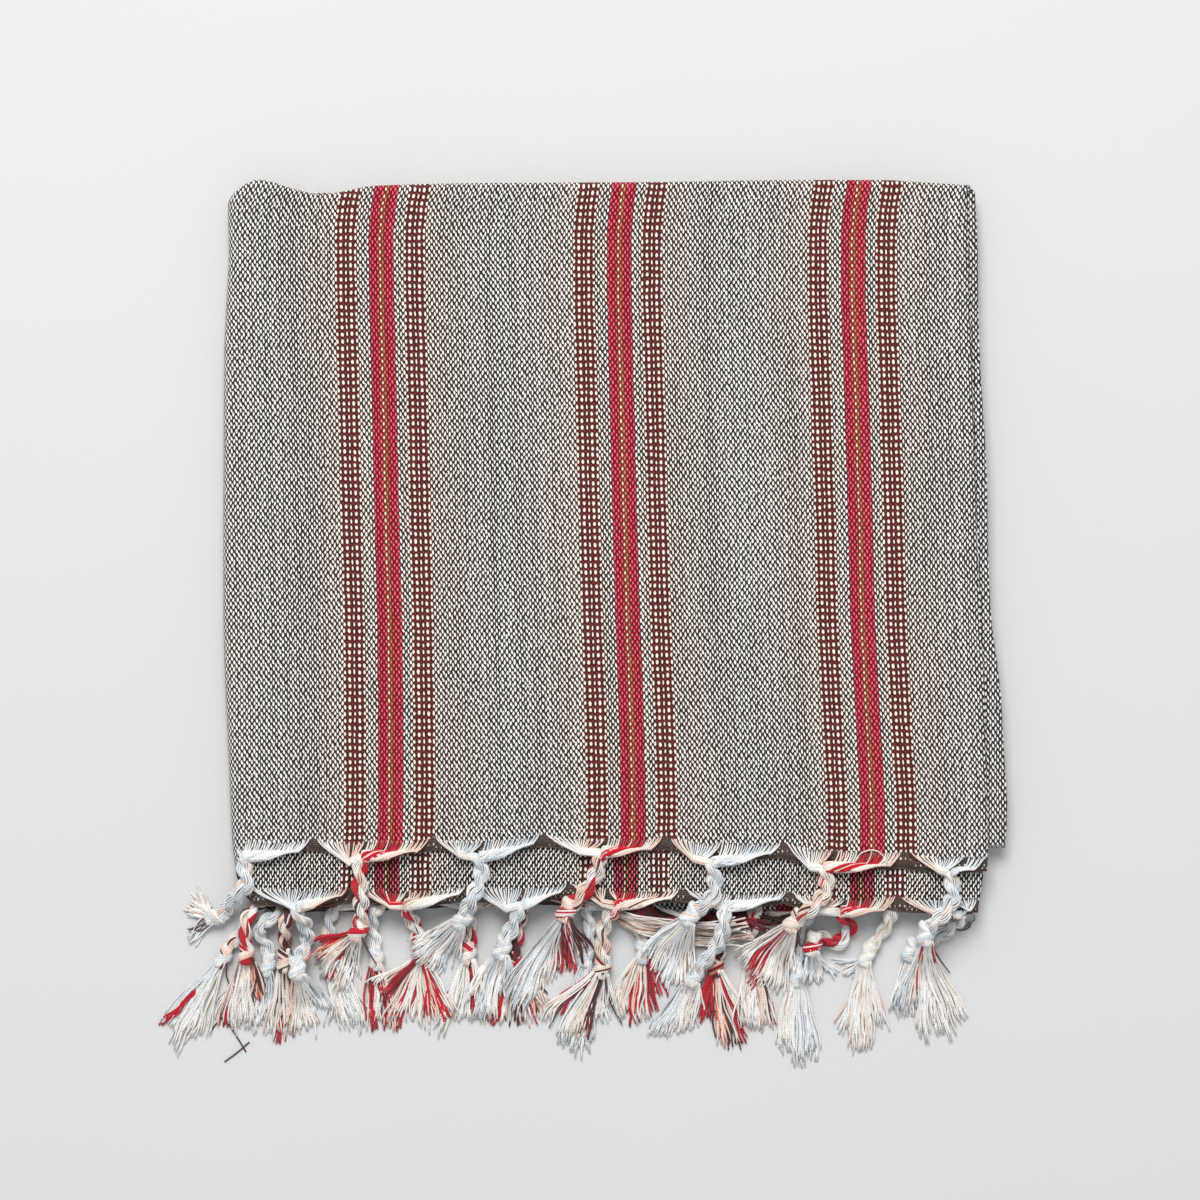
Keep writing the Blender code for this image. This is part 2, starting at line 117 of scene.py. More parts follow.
def gone_along(points):
    """Distance gone at every point of a line, or of each of several lines."""
    steps = np.linalg.norm(np.diff(points, axis=-2), axis=-1)
    return np.concatenate((np.zeros((*steps.shape[:-1], 1)), np.cumsum(steps, -1)), -1)


def sampled(want, at, line):
    """The points of a line at the wanted places, where at are the places of its own points."""
    return np.column_stack([np.interp(want, at, column) for column in line.T])


def softened(x, xs, ys, width=7.0):
    """Linear interpolation with its corners rounded."""
    order = np.argsort(xs)
    xs, ys = xs[order], ys[order]
    return sum(0.2 * np.interp(x + step * width, xs, ys) for step in (-1.0, -0.5, 0.0, 0.5, 1.0))


def levels(table, along):
    return [softened(along, table.along, column, 3.5) for column in table[1:]]


def section(top, hem_a, hem_b):
    """The back-and-forth section at each station: y, distance from the fold's axis, under share and layer."""
    wide, tight = 1.5 * PITCH, 0.5 * PITCH
    flat = np.ones_like(top)
    y_top, y_low, y_hidden = top - wide, (FOLD_C + tight) * flat, FOLD_C + 30 * flat
    parts = []

    def run(y0, y1, steps, dist, under, layer):
        for t in np.linspace(0, 1, steps, endpoint=False):
            parts.append((y0 + (y1 - y0) * t, dist * flat, under * flat, layer))

    def bend(y0, sign, radius, middle, start, steps, under0, under1, layer):
        for t in np.linspace(0, 1, steps, endpoint=False):
            y = y0 + sign * radius * math.sin(math.pi * t)
            dist = middle + start * radius * math.cos(math.pi * t)
            parts.append((y, dist * flat, (under0 + (under1 - under0) * t) * flat, layer))

    run(hem_a, y_top, 102, STACK, 0.0, 0)
    bend(y_top, 1, wide, INNER + wide, 1, 12, 0.0, 1.0, 0)
    run(y_top, y_low, 30, INNER, 1.0, 1)
    bend(y_low, -1, tight, INNER + tight, -1, 6, 1.0, 1.0, 1)
    run(y_low, y_top, 30, INNER + PITCH, 1.0, 2)
    bend(y_top, 1, tight, INNER + wide, -1, 6, 1.0, 0.0, 2)
    run(y_top, y_hidden, 26, FAR_END, 0.0, 3)
    run(y_hidden, hem_b, 18, FAR_END, 0.0, 3)
    parts.append((hem_b, FAR_END * flat, 0 * flat, 3))
    *columns, layers = zip(*parts)
    return *(np.stack(column, 1) for column in columns), np.array(layers)


def ripple(x, y, seed):
    """Small soft unevenness, about -1 to 1."""
    own = np.random.default_rng(seed)
    total = 0.0
    for _ in range(7):
        angle = own.uniform(0, math.pi)
        length = own.uniform(24, 60)
        phase = own.uniform(0, 6.28)
        total = total + np.sin((x * math.cos(angle) + y * math.sin(angle)) * 6.283 / length + phase)
    return total / 4


def layout():
    """Middle points of the whole sheet, station by station, with their warp and weft coordinates."""
    up_n, turn_n, low_n = STATIONS
    up_along = np.linspace(UPPER.along[-1], 0, up_n)
    low_along = np.linspace(0, LOWER.along[-1], low_n)
    turn = np.linspace(0, 1, turn_n + 2)[1:-1]
    none = 0 * turn
    up, low = levels(UPPER, up_along), levels(LOWER, low_along)
    mid = [a[-1] + (b[0] - a[-1]) * turn for a, b in zip(up, low)]
    top, *hems = (np.concatenate(column) for column in zip(up, mid, low))
    fold_x = EDGE.left[-3] + 9.5
    for i, end in enumerate("ab"):
        hems[i] = hems[i] + np.concatenate((scallops(f"fringe_{end}_upper", fold_x + up_along), none,
                                            scallops(f"fringe_{end}_lower", fold_x + low_along)))
    half = np.repeat((UPPER_HALF, LEFT_FOLD, LOWER_HALF), STATIONS)[:, None]
    share = np.concatenate((up_along / UPPER.along[-1], none, low_along / LOWER.along[-1]))[:, None]
    angle = np.radians(np.concatenate((np.full(up_n, 90.0), 90 - 180 * turn, np.full(low_n, -90.0))))[:, None]
    y, dist, under, layer = section(top, *hems)

    left = softened(y, EDGE.y, EDGE.left) + STACK + 0.7
    front = softened(y, EDGE.y, EDGE.right_front)
    back = softened(y, EDGE.y, EDGE.right_under)
    right = front + (back - front) * under
    right = np.where(half == LOWER_HALF, np.minimum(right, LOWER_RIGHT) - 2.0, right)
    right = right + 0.7 * np.sin(y / 23 + 1.9 * layer) * (layer > 0) - 1.2 * (layer == 3) + 1.0 * (layer == 2)
    flat_y = y
    y = y - TURN_DIP * np.cos(angle) * dist / STACK * eased((y - 150) / 110)
    x = left - dist * np.cos(angle) + share * (right - left)
    z = MID + dist * np.sin(angle)

    # The upper half lies in soft waves, and its top sinks a little towards its hem
    near = eased(share * 6) * (half == UPPER_HALF)
    wave = np.sin(x / 41 + 0.6) * np.cos(y / 58 - 0.5) + 0.6 * np.sin(x / 90 - y / 70)
    z = z + near * 0.9 * (0.8 + 0.5 * wave)
    z = z - near * 1.5 * eased((FOLD_C + 4 - y) / 34) * (1 - under)
    z = z + 0.22 * near * (layer == 0) * ripple(x, y, 5)
    grid = np.stack((x, y, z), 2)

    # Weft coordinate: rows run straight across each half, and it is blended in the hidden part between
    from_a = gone_along(grid)
    whole = from_a[:, -1:]
    hem_dist = np.minimum(from_a, whole - from_a)
    level_a, level_b = (
        np.array([np.interp(0.0, ys[part], gone[part]) for ys, gone in zip(flat_y, from_a)])[:, None]
        for part in (slice(60), slice(None, -40, -1)))
    blend = eased((from_a / whole - 0.3) / 0.4)
    v = (from_a - level_a) * (1 - blend) + (from_a - level_b + (level_b - level_a).mean()) * blend

    # Warp coordinate: the stripe groups lie where the tables say
    u = np.empty_like(x)
    for i, j in np.ndindex(x.shape):
        if half[i] == UPPER_HALF:
            centres = UNDER_STRIPES
            if layer[j] < 2:
                centres = [softened(flat_y[i, j], STRIPE.y, column, 4.0) for column in STRIPE[1:]]
            u[i, j] = warp_at(x[i, j], centres)
    for i in np.where(half > UPPER_HALF)[0]:
        fold = STRIPE_U - (softened(flat_y[i], STRIPE.y, STRIPE.first, 4.0) - left[i])
        u[i] = fold - STACK * (math.pi / 2 - angle[i, 0]) - share[i, 0] * (right[i] - left[i])
    return grid, u, v, hem_dist, half[:, 0], layer, whole.mean()


def warp_at(x, centres):
    """Warp coordinate at x, from the middles of the three groups there."""
    xs = [centres[0] - 200.0, *centres, centres[2] + 2 * REPEAT_U]
    us = [STRIPE_U - 200.0, *(STRIPE_U + REPEAT_U * k for k in (0, 1, 2, 4))]
    return np.interp(x, xs, us)


# ---------------------------------------------------------------- meshes

SIDES = 4  # of a yarn's section
MAP_ROWS = 8  # yarns above each other on a bake map


def placed(data, location=(0.0, 0.0, 0.0)):
    """A new object in the scene."""
    obj = bpy.data.objects.new(data.name, data)
    obj.location = location
    bpy.context.scene.collection.objects.link(obj)
    return obj


def new_mesh(name, points, faces, material):
    mesh = bpy.data.meshes.new(name)
    mesh.from_pydata(points, [], faces)
    mesh.materials.append(material)
    return mesh


def towel_piece(name, points, faces, material):
    """An object of the towel from points in millimetres."""
    mesh = new_mesh(name, ((points - FOOT) * MM).tolist(), faces.tolist(), material)
    mesh.polygons.foreach_set("use_smooth", [True] * len(mesh.polygons))
    obj = placed(mesh)
    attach(obj, "root")
    return obj


def attribute(mesh, name, kind, field, values):
    """Gives every point of a mesh a value that its material reads."""
    made = mesh.attributes.new(name, kind, "POINT")
    made.data.foreach_set(field, np.asarray(values, np.float32).ravel())


def bake_map(mesh, places):
    mesh.uv_layers.new(name="OFBake").data.foreach_set("uv", np.asarray(places, np.float32).ravel())


def cloth_piece(grid, material):
    """The sheet with its thickness, closed all round."""
    rows, cols = grid.shape[:2]
    normal = unit(np.cross(np.gradient(grid, axis=1), np.gradient(grid, axis=0)))
    if normal[0, 0, 2] < 0:  # the outer side is the one that shows
        normal = -normal
    outer = (grid + normal * THICK / 2).reshape(-1, 3)
    inner = (grid - normal * THICK / 2).reshape(-1, 3)
    count = rows * cols
    i, j = np.meshgrid(np.arange(rows - 1), np.arange(cols - 1), indexing="ij")
    k = (i * cols + j).ravel()
    quads = np.stack((k, k + 1, k + cols + 1, k + cols), 1)
    rim = np.concatenate((
        np.arange(cols),
        np.arange(2, rows + 1) * cols - 1,
        np.arange(count - 2, count - cols - 1, -1),
        np.arange(rows - 2, 0, -1) * cols,
    ))
    after = np.roll(rim, -1)
    sides = np.stack((rim, rim + count, after + count, after), 1)
    faces = np.concatenate((quads[:, ::-1], quads + count, sides[:, ::-1]))
    return towel_piece("cloth_sheet", np.concatenate((outer, inner)), faces, material)


# The sheet's places on its bake map: side, first and last station, first and last column, and left, bottom,
# right and top in steps of 1/1024
BLOCKS = (
    ("outer", 0, 119, 0, 108, (3, 3, 906, 768)),  # the visible top
    ("inner", 0, 119, 212, 230, (3, 772, 906, 884)),  # the strip of the far end that shows below it
    ("inner", 119, 163, 0, 9, (3, 888, 906, 926)),  # the lower half's end that shows below both
    ("outer", 119, 163, 0, 108, (3, 930, 906, 1012)),  # the underside
    ("outer", 0, 119, 108, 230, (911, 3, 1020, 300)),
    ("inner", 0, 119, 0, 212, (911, 304, 1020, 600)),
    ("outer", 119, 163, 108, 230, (911, 604, 1020, 800)),
    ("inner", 119, 163, 9, 230, (911, 804, 1020, 1012)),
)
RIM_PLACE = (3, 1016, 1020, 1020)


def bake_places(mesh, grid):
    """A place on the map for every face, large for what shows and small for what the folds hide."""
    rows, cols = grid.shape[:2]
    s_at = gone_along(grid[:, :100].swapaxes(0, 1)).mean(0)
    t_at = gone_along(grid).mean(0)
    corners = np.empty(len(mesh.loops), int)
    mesh.loops.foreach_get("vertex_index", corners)
    corners = corners.reshape(-1, 4)
    places = np.empty((*corners.shape, 2))
    cells = (rows - 1) * (cols - 1)
    rim = len(corners) - 2 * cells
    i, j = np.divmod(corners % (rows * cols), cols)
    side = np.repeat(("outer", "inner", "rim"), (cells, cells, rim))
    for name, i0, i1, j0, j1, (x0, y0, x1, y1) in BLOCKS:
        here = (side == name) & (i.min(1) >= i0) & (i.max(1) <= i1) & (j.min(1) >= j0) & (j.max(1) <= j1)
        across = (s_at[i[here]] - s_at[i0]) / (s_at[i1] - s_at[i0])
        up = (t_at[j[here]] - t_at[j0]) / (t_at[j1] - t_at[j0])
        places[here] = np.stack((x0 + (x1 - x0) * across, y0 + (y1 - y0) * up), 2)
    x0, y0, x1, y1 = RIM_PLACE
    step = (x1 - x0) / rim
    places[2 * cells:, :, 0] = x0 + step * np.arange(rim)[:, None] + step * np.array((0, 0, 1, 1))
    places[2 * cells:, :, 1] = np.array((y0, y1, y1, y0))
    bake_map(mesh, places / 1024)


class Yarns:
    """Many round yarns in one mesh, each with its own colour and its own strip of the bake map."""

    def __init__(self):
        self.points, self.faces, self.tints, self.runs, self.strips = [], [], [], [], []
        self.count = self.number = 0

    def add(self, lines, radii, tints):
        """Takes lines (yarns, points, 3), radii (yarns, points) or less, and the name of each yarn's tint."""
        lines = np.asarray(lines, float)
        number, length = lines.shape[:2]
        radii = np.broadcast_to(radii, (number, length))
        ahead = unit(np.gradient(lines, axis=1), 1e-9)
        side = np.empty_like(ahead)
        first = np.cross(ahead[:, 0], (0.0, 0.0, 1.0))
        weak = np.linalg.norm(first, axis=1) < 0.2
        first[weak] = np.cross(ahead[weak, 0], (1.0, 0.0, 0.0))
        side[:, 0] = unit(first)
        for k in range(1, length):
            before = side[:, k - 1]
            side[:, k] = unit(before - ahead[:, k] * (before * ahead[:, k]).sum(1, keepdims=True), 1e-9)
        up = np.cross(ahead, side)
        turn = np.arange(SIDES) * 2 * math.pi / SIDES
        ring = side[:, :, None] * np.cos(turn)[:, None] + up[:, :, None] * np.sin(turn)[:, None]
        points = lines[:, :, None] + ring * radii[:, :, None, None]
        run = np.empty((number, length, SIDES, 3))
        run[..., 0] = gone_along(lines)[:, :, None]
        run[..., 1] = turn
        run[..., 2] = rng.uniform(0, 100, number)[:, None, None]
        colour = np.array([TINTS[t] for t in tints])
        colour = np.clip(colour * rng.uniform(0.88, 1.06, (number, 1)), 0, 1)
        self.tints.append(np.repeat(colour, length * SIDES, 0))
        self.runs.append(run.reshape(-1, 3))
        self.points.append(points.reshape(-1, 3))
        base = self.count + (np.arange(number) * length * SIDES)[:, None, None]
        i, k = np.meshgrid(np.arange(length - 1), np.arange(SIDES), indexing="ij")
        a = base + i * SIDES + k
        b = base + i * SIDES + (k + 1) % SIDES
        start = base[:, 0, :] + np.arange(SIDES)[::-1]
        end = base[:, 0, :] + (length - 1) * SIDES + np.arange(SIDES)
        tube = np.stack((a, b, b + SIDES, a + SIDES), 3).reshape(number, -1, 4)
        self.faces.append(np.concatenate((tube, start[:, None], end[:, None]), 1).reshape(-1, 4))

        # Every yarn has a cell of the map, with its length up the cell and its round across
        strip = np.stack((np.stack((k, k + 1, k + 1, k), 2) / SIDES,
                          np.stack((i, i, i + 1, i + 1), 2) / (length - 1)), 3).reshape(-1, 4, 2)
        cap = np.array(((0.1, 0), (0.9, 0), (0.9, 0.04), (0.1, 0.04)))
        strip = np.concatenate((strip, [cap - (0, 0.06), cap + (0, 1.02)]))
        own = (self.number + np.arange(number))[:, None, None]
        cell = np.stack((own // MAP_ROWS + 0.12 + 0.76 * strip[..., 0],
                         (own % MAP_ROWS + 0.1 + 0.8 * strip[..., 1]) / MAP_ROWS), 3)
        self.strips.append(cell.reshape(-1, 2))
        self.count += number * length * SIDES
        self.number += number

    def piece(self, name, slot):
        obj = towel_piece(name, np.concatenate(self.points), np.concatenate(self.faces), yarn_material)
        tints = np.concatenate(self.tints)
        attribute(obj.data, "tint", "FLOAT_COLOR", "color", np.column_stack((tints, np.ones(len(tints)))))
        attribute(obj.data, "run", "FLOAT_VECTOR", "vector", np.concatenate(self.runs))
        columns = -(-self.number // MAP_ROWS)
        bake_map(obj.data, np.concatenate(self.strips) / (columns, 1))
        return obj


# ---------------------------------------------------------------- colours and materials


def linear(*rgb):
    """Linear colour of an sRGB one from 0 to 255."""
    c = np.array(rgb, float) / 255
    return tuple(np.where(c <= 0.04045, c / 12.92, ((c + 0.055) / 1.055) ** 2.4))


TINTS = {
    "white": linear(250, 249, 247),
    "cream": linear(248, 240, 230),
    "blue": linear(224, 232, 237),
    "peach": linear(245, 216, 200),
    "orange": linear(230, 140, 106),
    "red": linear(206, 12, 42),
    "darkred": linear(140, 20, 38),
    "maroon": linear(84, 38, 40),
    "weft": linear(84, 66, 58),
    "grey": linear(120, 118, 120),
}


class Value:
    """A socket of a material's graph, with the usual operators."""

    def __init__(self, graph, socket):
        self.graph = graph
        self.socket = socket

    def __rsub__(self, other):
        return self.graph.math("SUBTRACT", other, self)


# Each operator adds the math node of its name to the graph
OPERATORS = {"add": "ADD", "sub": "SUBTRACT", "mul": "MULTIPLY", "truediv": "DIVIDE", "mod": "MODULO",
             "lt": "LESS_THAN", "gt": "GREATER_THAN", "abs": "ABSOLUTE"}
for operator, kind in OPERATORS.items():
    setattr(Value, f"__{operator}__", lambda self, *other, kind=kind: self.graph.math(kind, self, *other))


class Graph:
    """Short names for the nodes of one material; colours are sRGB ones from 0 to 255."""

    def __init__(self, name):
        self.material = bpy.data.materials.new(name)
        self.material.use_nodes = True
        self.tree = self.material.node_tree
        self.shader = self.tree.nodes["Principled BSDF"]

    def node(self, kind, *values, **settings):
        """A node with its settings, and values for its first inputs."""
        made = self.tree.nodes.new(kind)
        for key, setting in settings.items():
            setattr(made, key, setting)
        for socket, value in zip(made.inputs, values):
            self.put(socket, value)
        return made

    def put(self, socket, value):
        if isinstance(value, Value):
            self.tree.links.new(value.socket, socket)
        elif socket.type == "RGBA":
            socket.default_value = (*linear(*value), 1.0)
        else:
            socket.default_value = value

    def math(self, kind, *values):
        return Value(self, self.node("ShaderNodeMath", *values, operation=kind).outputs[0])

    def ramp(self, value, low, high, to_low=0.0, to_high=1.0):
        made = self.node("ShaderNodeMapRange", value, low, high, to_low, to_high,
                         interpolation_type="SMOOTHSTEP")
        return Value(self, made.outputs[0])

    def mix(self, factor, a, b):
        made = self.node("ShaderNodeMix", factor, data_type="RGBA")
        self.put(made.inputs[6], a)
        self.put(made.inputs[7], b)
        return Value(self, made.outputs[2])

    def scaled(self, colour, factor):
        made = self.node("ShaderNodeVectorMath", colour, operation="SCALE")
        self.put(made.inputs["Scale"], factor)
        return Value(self, made.outputs[0])

    def vector(self, x, y, z=0.0):
        """A place in a noise; a fixed z keeps a noise of x and y apart from the others."""
        return Value(self, self.node("ShaderNodeCombineXYZ", x, y, z).outputs[0])

    def parts(self, vector):
        return [Value(self, output) for output in self.node("ShaderNodeSeparateXYZ", vector).outputs]

    def attribute(self, name, output):
        return Value(self, self.node("ShaderNodeAttribute", attribute_name=name).outputs[output])

    def noise(self, vector, scale, detail=2.0):
        made = self.node("ShaderNodeTexNoise", vector)
        self.put(made.inputs["Scale"], scale)
        self.put(made.inputs["Detail"], detail)
        return Value(self, made.outputs[0])

    def random(self, x, y, z):
        made = self.node("ShaderNodeTexWhiteNoise", self.vector(x, y, z), noise_dimensions="3D")
        return Value(self, made.outputs[0])

    def finish(self, colour, roughness, specular, sheen=0.0, height=None, strength=0.0, distance=0.0):
        """The shader's looks, with a bump where a height is given."""
        looks = {"Base Color": colour, "Roughness": roughness}
        looks |= {"Specular IOR Level": specular, "Sheen Weight": sheen}
        if height:
            bump = self.node("ShaderNodeBump", strength, distance)
            self.put(bump.inputs["Height"], height)
            looks["Normal"] = Value(self, bump.outputs[0])
        for name, value in looks.items():
            self.put(self.shader.inputs[name], value)
        return self.material


def warp_groups(k):
    """By warp number: distance from the group's middle, the bands of cream and brown beside it, every other
    yarn, and the red yarns with the yellow ones among them."""
    size = abs(k)
    return size, (size > 9.5) * (size < 18.5), size % 2.0 > 0.5, abs(k - 0.5) < 5.0


def weave():
    """Plain weave: warp floats in brick order over a dark weft, with the stripes by warp number."""
    g = Graph("woven_cotton")
    u, v, hem = g.parts(g.attribute("weave", "Vector"))
    # loose marks the far end's strip that shows below the top hem: its weave is looser, and further down its
    # gaps get painted shade
    loose = g.attribute("far_end", "Fac")
    c = (u + (g.noise(g.vector(u, v), 0.11) - 0.5) * 0.9 - STRIPE_U) / WARP
    r = (v + (g.noise(g.vector(v, u, 7.0), 0.09) - 0.5) * 2.4) / WEFT
    slow = g.noise(g.vector(u * 0.06, v * 0.006, 2.0), 1.0, 3.0)
    tilt = g.noise(g.vector(u, v, 21.0), 0.035) * 0.45 - 0.15
    zigzag = g.ramp(g.noise(g.vector(v, u, 33.0), 0.02), 0.35, 0.6) * (loose * 0.03 + 0.15)

    def even(x):
        return g.math("ROUND", x / 2.0) * 2.0

    def nearest(offset):
        """The nearest float of one of the two sets: warp number in the repeat, distance and own chance."""
        far_c, far_r = c - offset, r - offset
        column, row = even(far_c), even(far_r)
        far_c, far_r = far_c - column, far_r - row
        column = column + offset
        chance = g.random(column, row, 3.0 + offset)
        other = g.random(row, column, 11.0 + offset)
        k = column - g.math("ROUND", column / COLUMNS) * COLUMNS
        size, band, odd, red = warp_groups(k)

        wide = g.random(column, 0.0, 9.0) * 0.12 + 0.388 - loose * 0.085 + (slow - 0.5) * 0.16
        from_mid = abs(size - 14.0)
        dots = (abs(from_mid - 2.0) < 0.5) * 0.12 - (from_mid < 0.5) * 0.12 + 0.5
        dots = dots + odd * (0.66 - dots)
        wide = wide + band * (dots - wide) - red * 0.05
        tall = other * 0.16 + 0.575 - band * odd * 0.18 - red * 0.10 + loose * 0.09

        lean = (chance - 0.5) * 0.40 + tilt + zigzag * (1.0 - 2.0 * offset)
        lean = lean * (1.0 - g.math("MAXIMUM", band, red) * 0.7)
        far_c = (far_c + far_r * lean + (other - 0.5) * 0.22) / wide
        far_r = (far_r + (chance - 0.5) * 0.2) / tall
        return k, g.math("SQRT", far_c * far_c + far_r * far_r), chance

    (k_a, far_a, chance_a), (k_b, far_b, chance_b) = nearest(0.0), nearest(1.0)
    second = far_b < far_a
    k, chance = k_a + second * (k_b - k_a), chance_a + second * (chance_b - chance_a)
    far = g.math("MINIMUM", far_a, far_b)

    # Floats and gaps: ground, bands, the brown yarns in them, red yarns, the two in the middle and the yellow
    size, band, odd, red = warp_groups(k)
    warm = g.ramp(size, 48.0, 20.0) * g.ramp(slow, 0.3, 0.7, 0.6, 1.2)
    top = g.mix(warm, (251, 249, 245), (253, 244, 234))
    gap = g.mix(warm, (40, 38, 37), (50, 39, 34))
    for where, top_colour, gap_colour in (
            (band, (254, 240, 228), (68, 25, 21)),
            (band * odd, (114, 46, 42), None),
            (red, (238, 106, 124), (114, 6, 24)),
            (abs(k - 0.5) < 1.0, (208, 140, 100), (112, 50, 36)),
            (size < 0.5, (250, 232, 190), None)):
        top = g.mix(where, top, top_colour)
        if gap_colour:
            gap = g.mix(where, gap, gap_colour)
    # Painted shade: the far end's strip lies under the top hem, so its gaps are darkened towards black
    gap = g.mix(loose, gap, g.mix(0.85, gap, (12, 8, 7)))

    # The floats end in bare weft above the hems, and small ones stay here and there in the middle of it
    bare = g.ramp(hem, 0.5, -0.3)
    stays = g.ramp(abs(hem + 4.6), 1.5, 1.1) * g.ramp(g.noise(g.vector(u, v, 44.0), 0.13), 0.42, 0.55)
    cover = g.math("MAXIMUM", g.ramp(far, 1.08, 0.7) * (1.0 - bare), g.ramp(far, 0.68, 0.4) * stays)
    patchy = g.noise(g.vector(u * 0.9, v * 2.2, 5.0), 1.0, 2.0)
    rib = (g.math("SINE", v * 5.2) * 0.5 + 0.5) * g.ramp(patchy, 0.35, 0.65, 0.25, 1.0)
    weft = g.mix(rib, (44, 35, 31), (122, 102, 93))
    colour = g.mix(cover, g.mix(bare, gap, weft), g.scaled(top, chance * 0.1 + 0.92))
    dome = g.math("MAXIMUM", 1.0 - far * far, 0.0) * (1.0 - bare)
    fibre = g.noise(g.vector(u * 3.0, v, 1.0), 2.0)
    return g.finish(colour, 0.88, 0.2, 0.1, fibre * 0.2 + dome, 0.7, 0.0005)


def yarn():
    """Twisted cotton yarn in the colour of the mesh's tint."""
    g = Graph("cotton_yarn")
    along, turn, own = g.parts(g.attribute("run", "Vector"))
    twist = g.math("SINE", along * 3.4 + turn * 2.0)
    slub = g.noise(g.vector(along * 0.25, own), 1.0)
    # Painted light and shade on the ridges of the twist, plus the slubs' tone, which differs at random
    light = twist * 0.06 + g.ramp(slub, 0.25, 0.75, 0.92, 1.05)
    return g.finish(g.scaled(g.attribute("tint", "Color"), light), 0.85, 0.25, 0.25, twist, 0.5, 0.0002)


def pale_floor():
    g = Graph("pale_floor")
    place = Value(g, g.node("ShaderNodeTexCoord").outputs["Object"])
    return g.finish(g.mix(g.noise(place, 3.0, 4.0), (209, 210, 210), (212, 213, 212)), 0.7, 0.2)


yarn_material = yarn()


# ---------------------------------------------------------------- what the fringe lies on

CELL = 1.0  # of the grid of heights, which keeps the top of all that lies there so far
GRID_X = np.arange(-285.0, 285.0, CELL)
GRID_Y = np.arange(-285.0, -105.0, CELL)
OUTSIDE = 999  # a hem's y where there is no cloth
CLEAR = 0.3  # between a bundle and what it lies on
SQUASH = 0.9  # of a cord's or knot's height against its width
SLOPE = 0.9  # the steepest fall of a cord
LOOSE_SLOPE = 0.85
heights = np.full((len(GRID_X), len(GRID_Y)), -1.0)


def around(x, y, reach):
    i0, i1 = np.searchsorted(GRID_X, (x - reach - CELL, x + reach + CELL))
    j0, j1 = np.searchsorted(GRID_Y, (y - reach - CELL, y + reach + CELL))
    dist = np.hypot(GRID_X[i0:i1, None] - x, GRID_Y[None, j0:j1] - y)
    return slice(i0, i1), slice(j0, j1), np.maximum(dist - 0.5 * CELL, 0.0)


def lowest(x, y, r, squash):
    """Lowest height for the middle of a bundle of radius r."""
    si, sj, dist = around(x, y, r)
    inner = (dist < r) & (heights[si, sj] >= 0)
    if not inner.any():
        return -1.0
    bulge = squash * np.sqrt(np.maximum(r * r - dist * dist, 0.0))
    return (heights[si, sj] + bulge)[inner].max() + CLEAR


def resting(flat, r, least=-1.0, squash=1.0):
    """The lowest heights along a path, but no less than least."""
    return np.array([max(lowest(x, y, r, squash), least) for x, y in flat])


def hold_up(z, flat, slope):
    """Raises each height that falls more steeply than the slope from the one before it."""
    for i in range(1, len(z)):
        z[i] = max(z[i], z[i - 1] - slope * math.dist(flat[i - 1], flat[i]))


def settle(flat, r, start):
    """Heights of a cord or knot that lies on what is below it, never steeper than SLOPE."""
    z = resting(flat, r, r * SQUASH, SQUASH)
    z[0] = max(z[0], start)
    hold_up(z, flat, SLOPE)
    hold_up(z[:0:-1], flat[:0:-1], SLOPE)
    return z


def lay_down(points, radii, squash, step=1.2):
    """Adds a bundle to what the next ones lie on."""
    radii = np.broadcast_to(radii, len(points))
    for p, q, r0, r1 in zip(points[:-1], points[1:], radii[:-1], radii[1:]):
        steps = max(1, int(math.dist(p[:2], q[:2]) / step))
        for s in range(steps + 1):
            t = s / steps
            x, y, z = (a + (b - a) * t for a, b in zip(p, q))
            r = r0 + (r1 - r0) * t
            si, sj, dist = around(x, y, r)
            bulge = z + squash * np.sqrt(np.maximum(r * r - dist * dist, 0.0))
            heights[si, sj] = np.where(dist < r, np.maximum(heights[si, sj], bulge), heights[si, sj])


def lay_cloth(part, turn):
    """Adds the top of a layer of the cloth near its hem, and of its turn round the left fold."""
    part = part[np.argsort(part[:, 0, 0])]
    if turn > 0:
        bend = sorted(((x, y, MID) for x, y, z in part[0, ::3]), key=lambda p: p[1])
        lay_down(bend, turn + THICK / 2, 1.0)
    lines = [column.T for column in part.swapaxes(0, 1)]
    rows_y = np.array([np.interp(GRID_X, xs, ys, left=OUTSIDE, right=OUTSIDE) for xs, ys, zs in lines])
    rows_z = np.array([np.interp(GRID_X, xs, zs) for xs, ys, zs in lines])
    for i in range(len(GRID_X)):
        order = np.argsort(rows_y[:, i])
        hem = rows_y[order[0], i]
        top = np.interp(GRID_Y, rows_y[order, i], rows_z[order, i]) + THICK / 2
        heights[i] = np.where(GRID_Y > hem - CELL, np.maximum(heights[i], top), heights[i])


# ---------------------------------------------------------------- the fringe

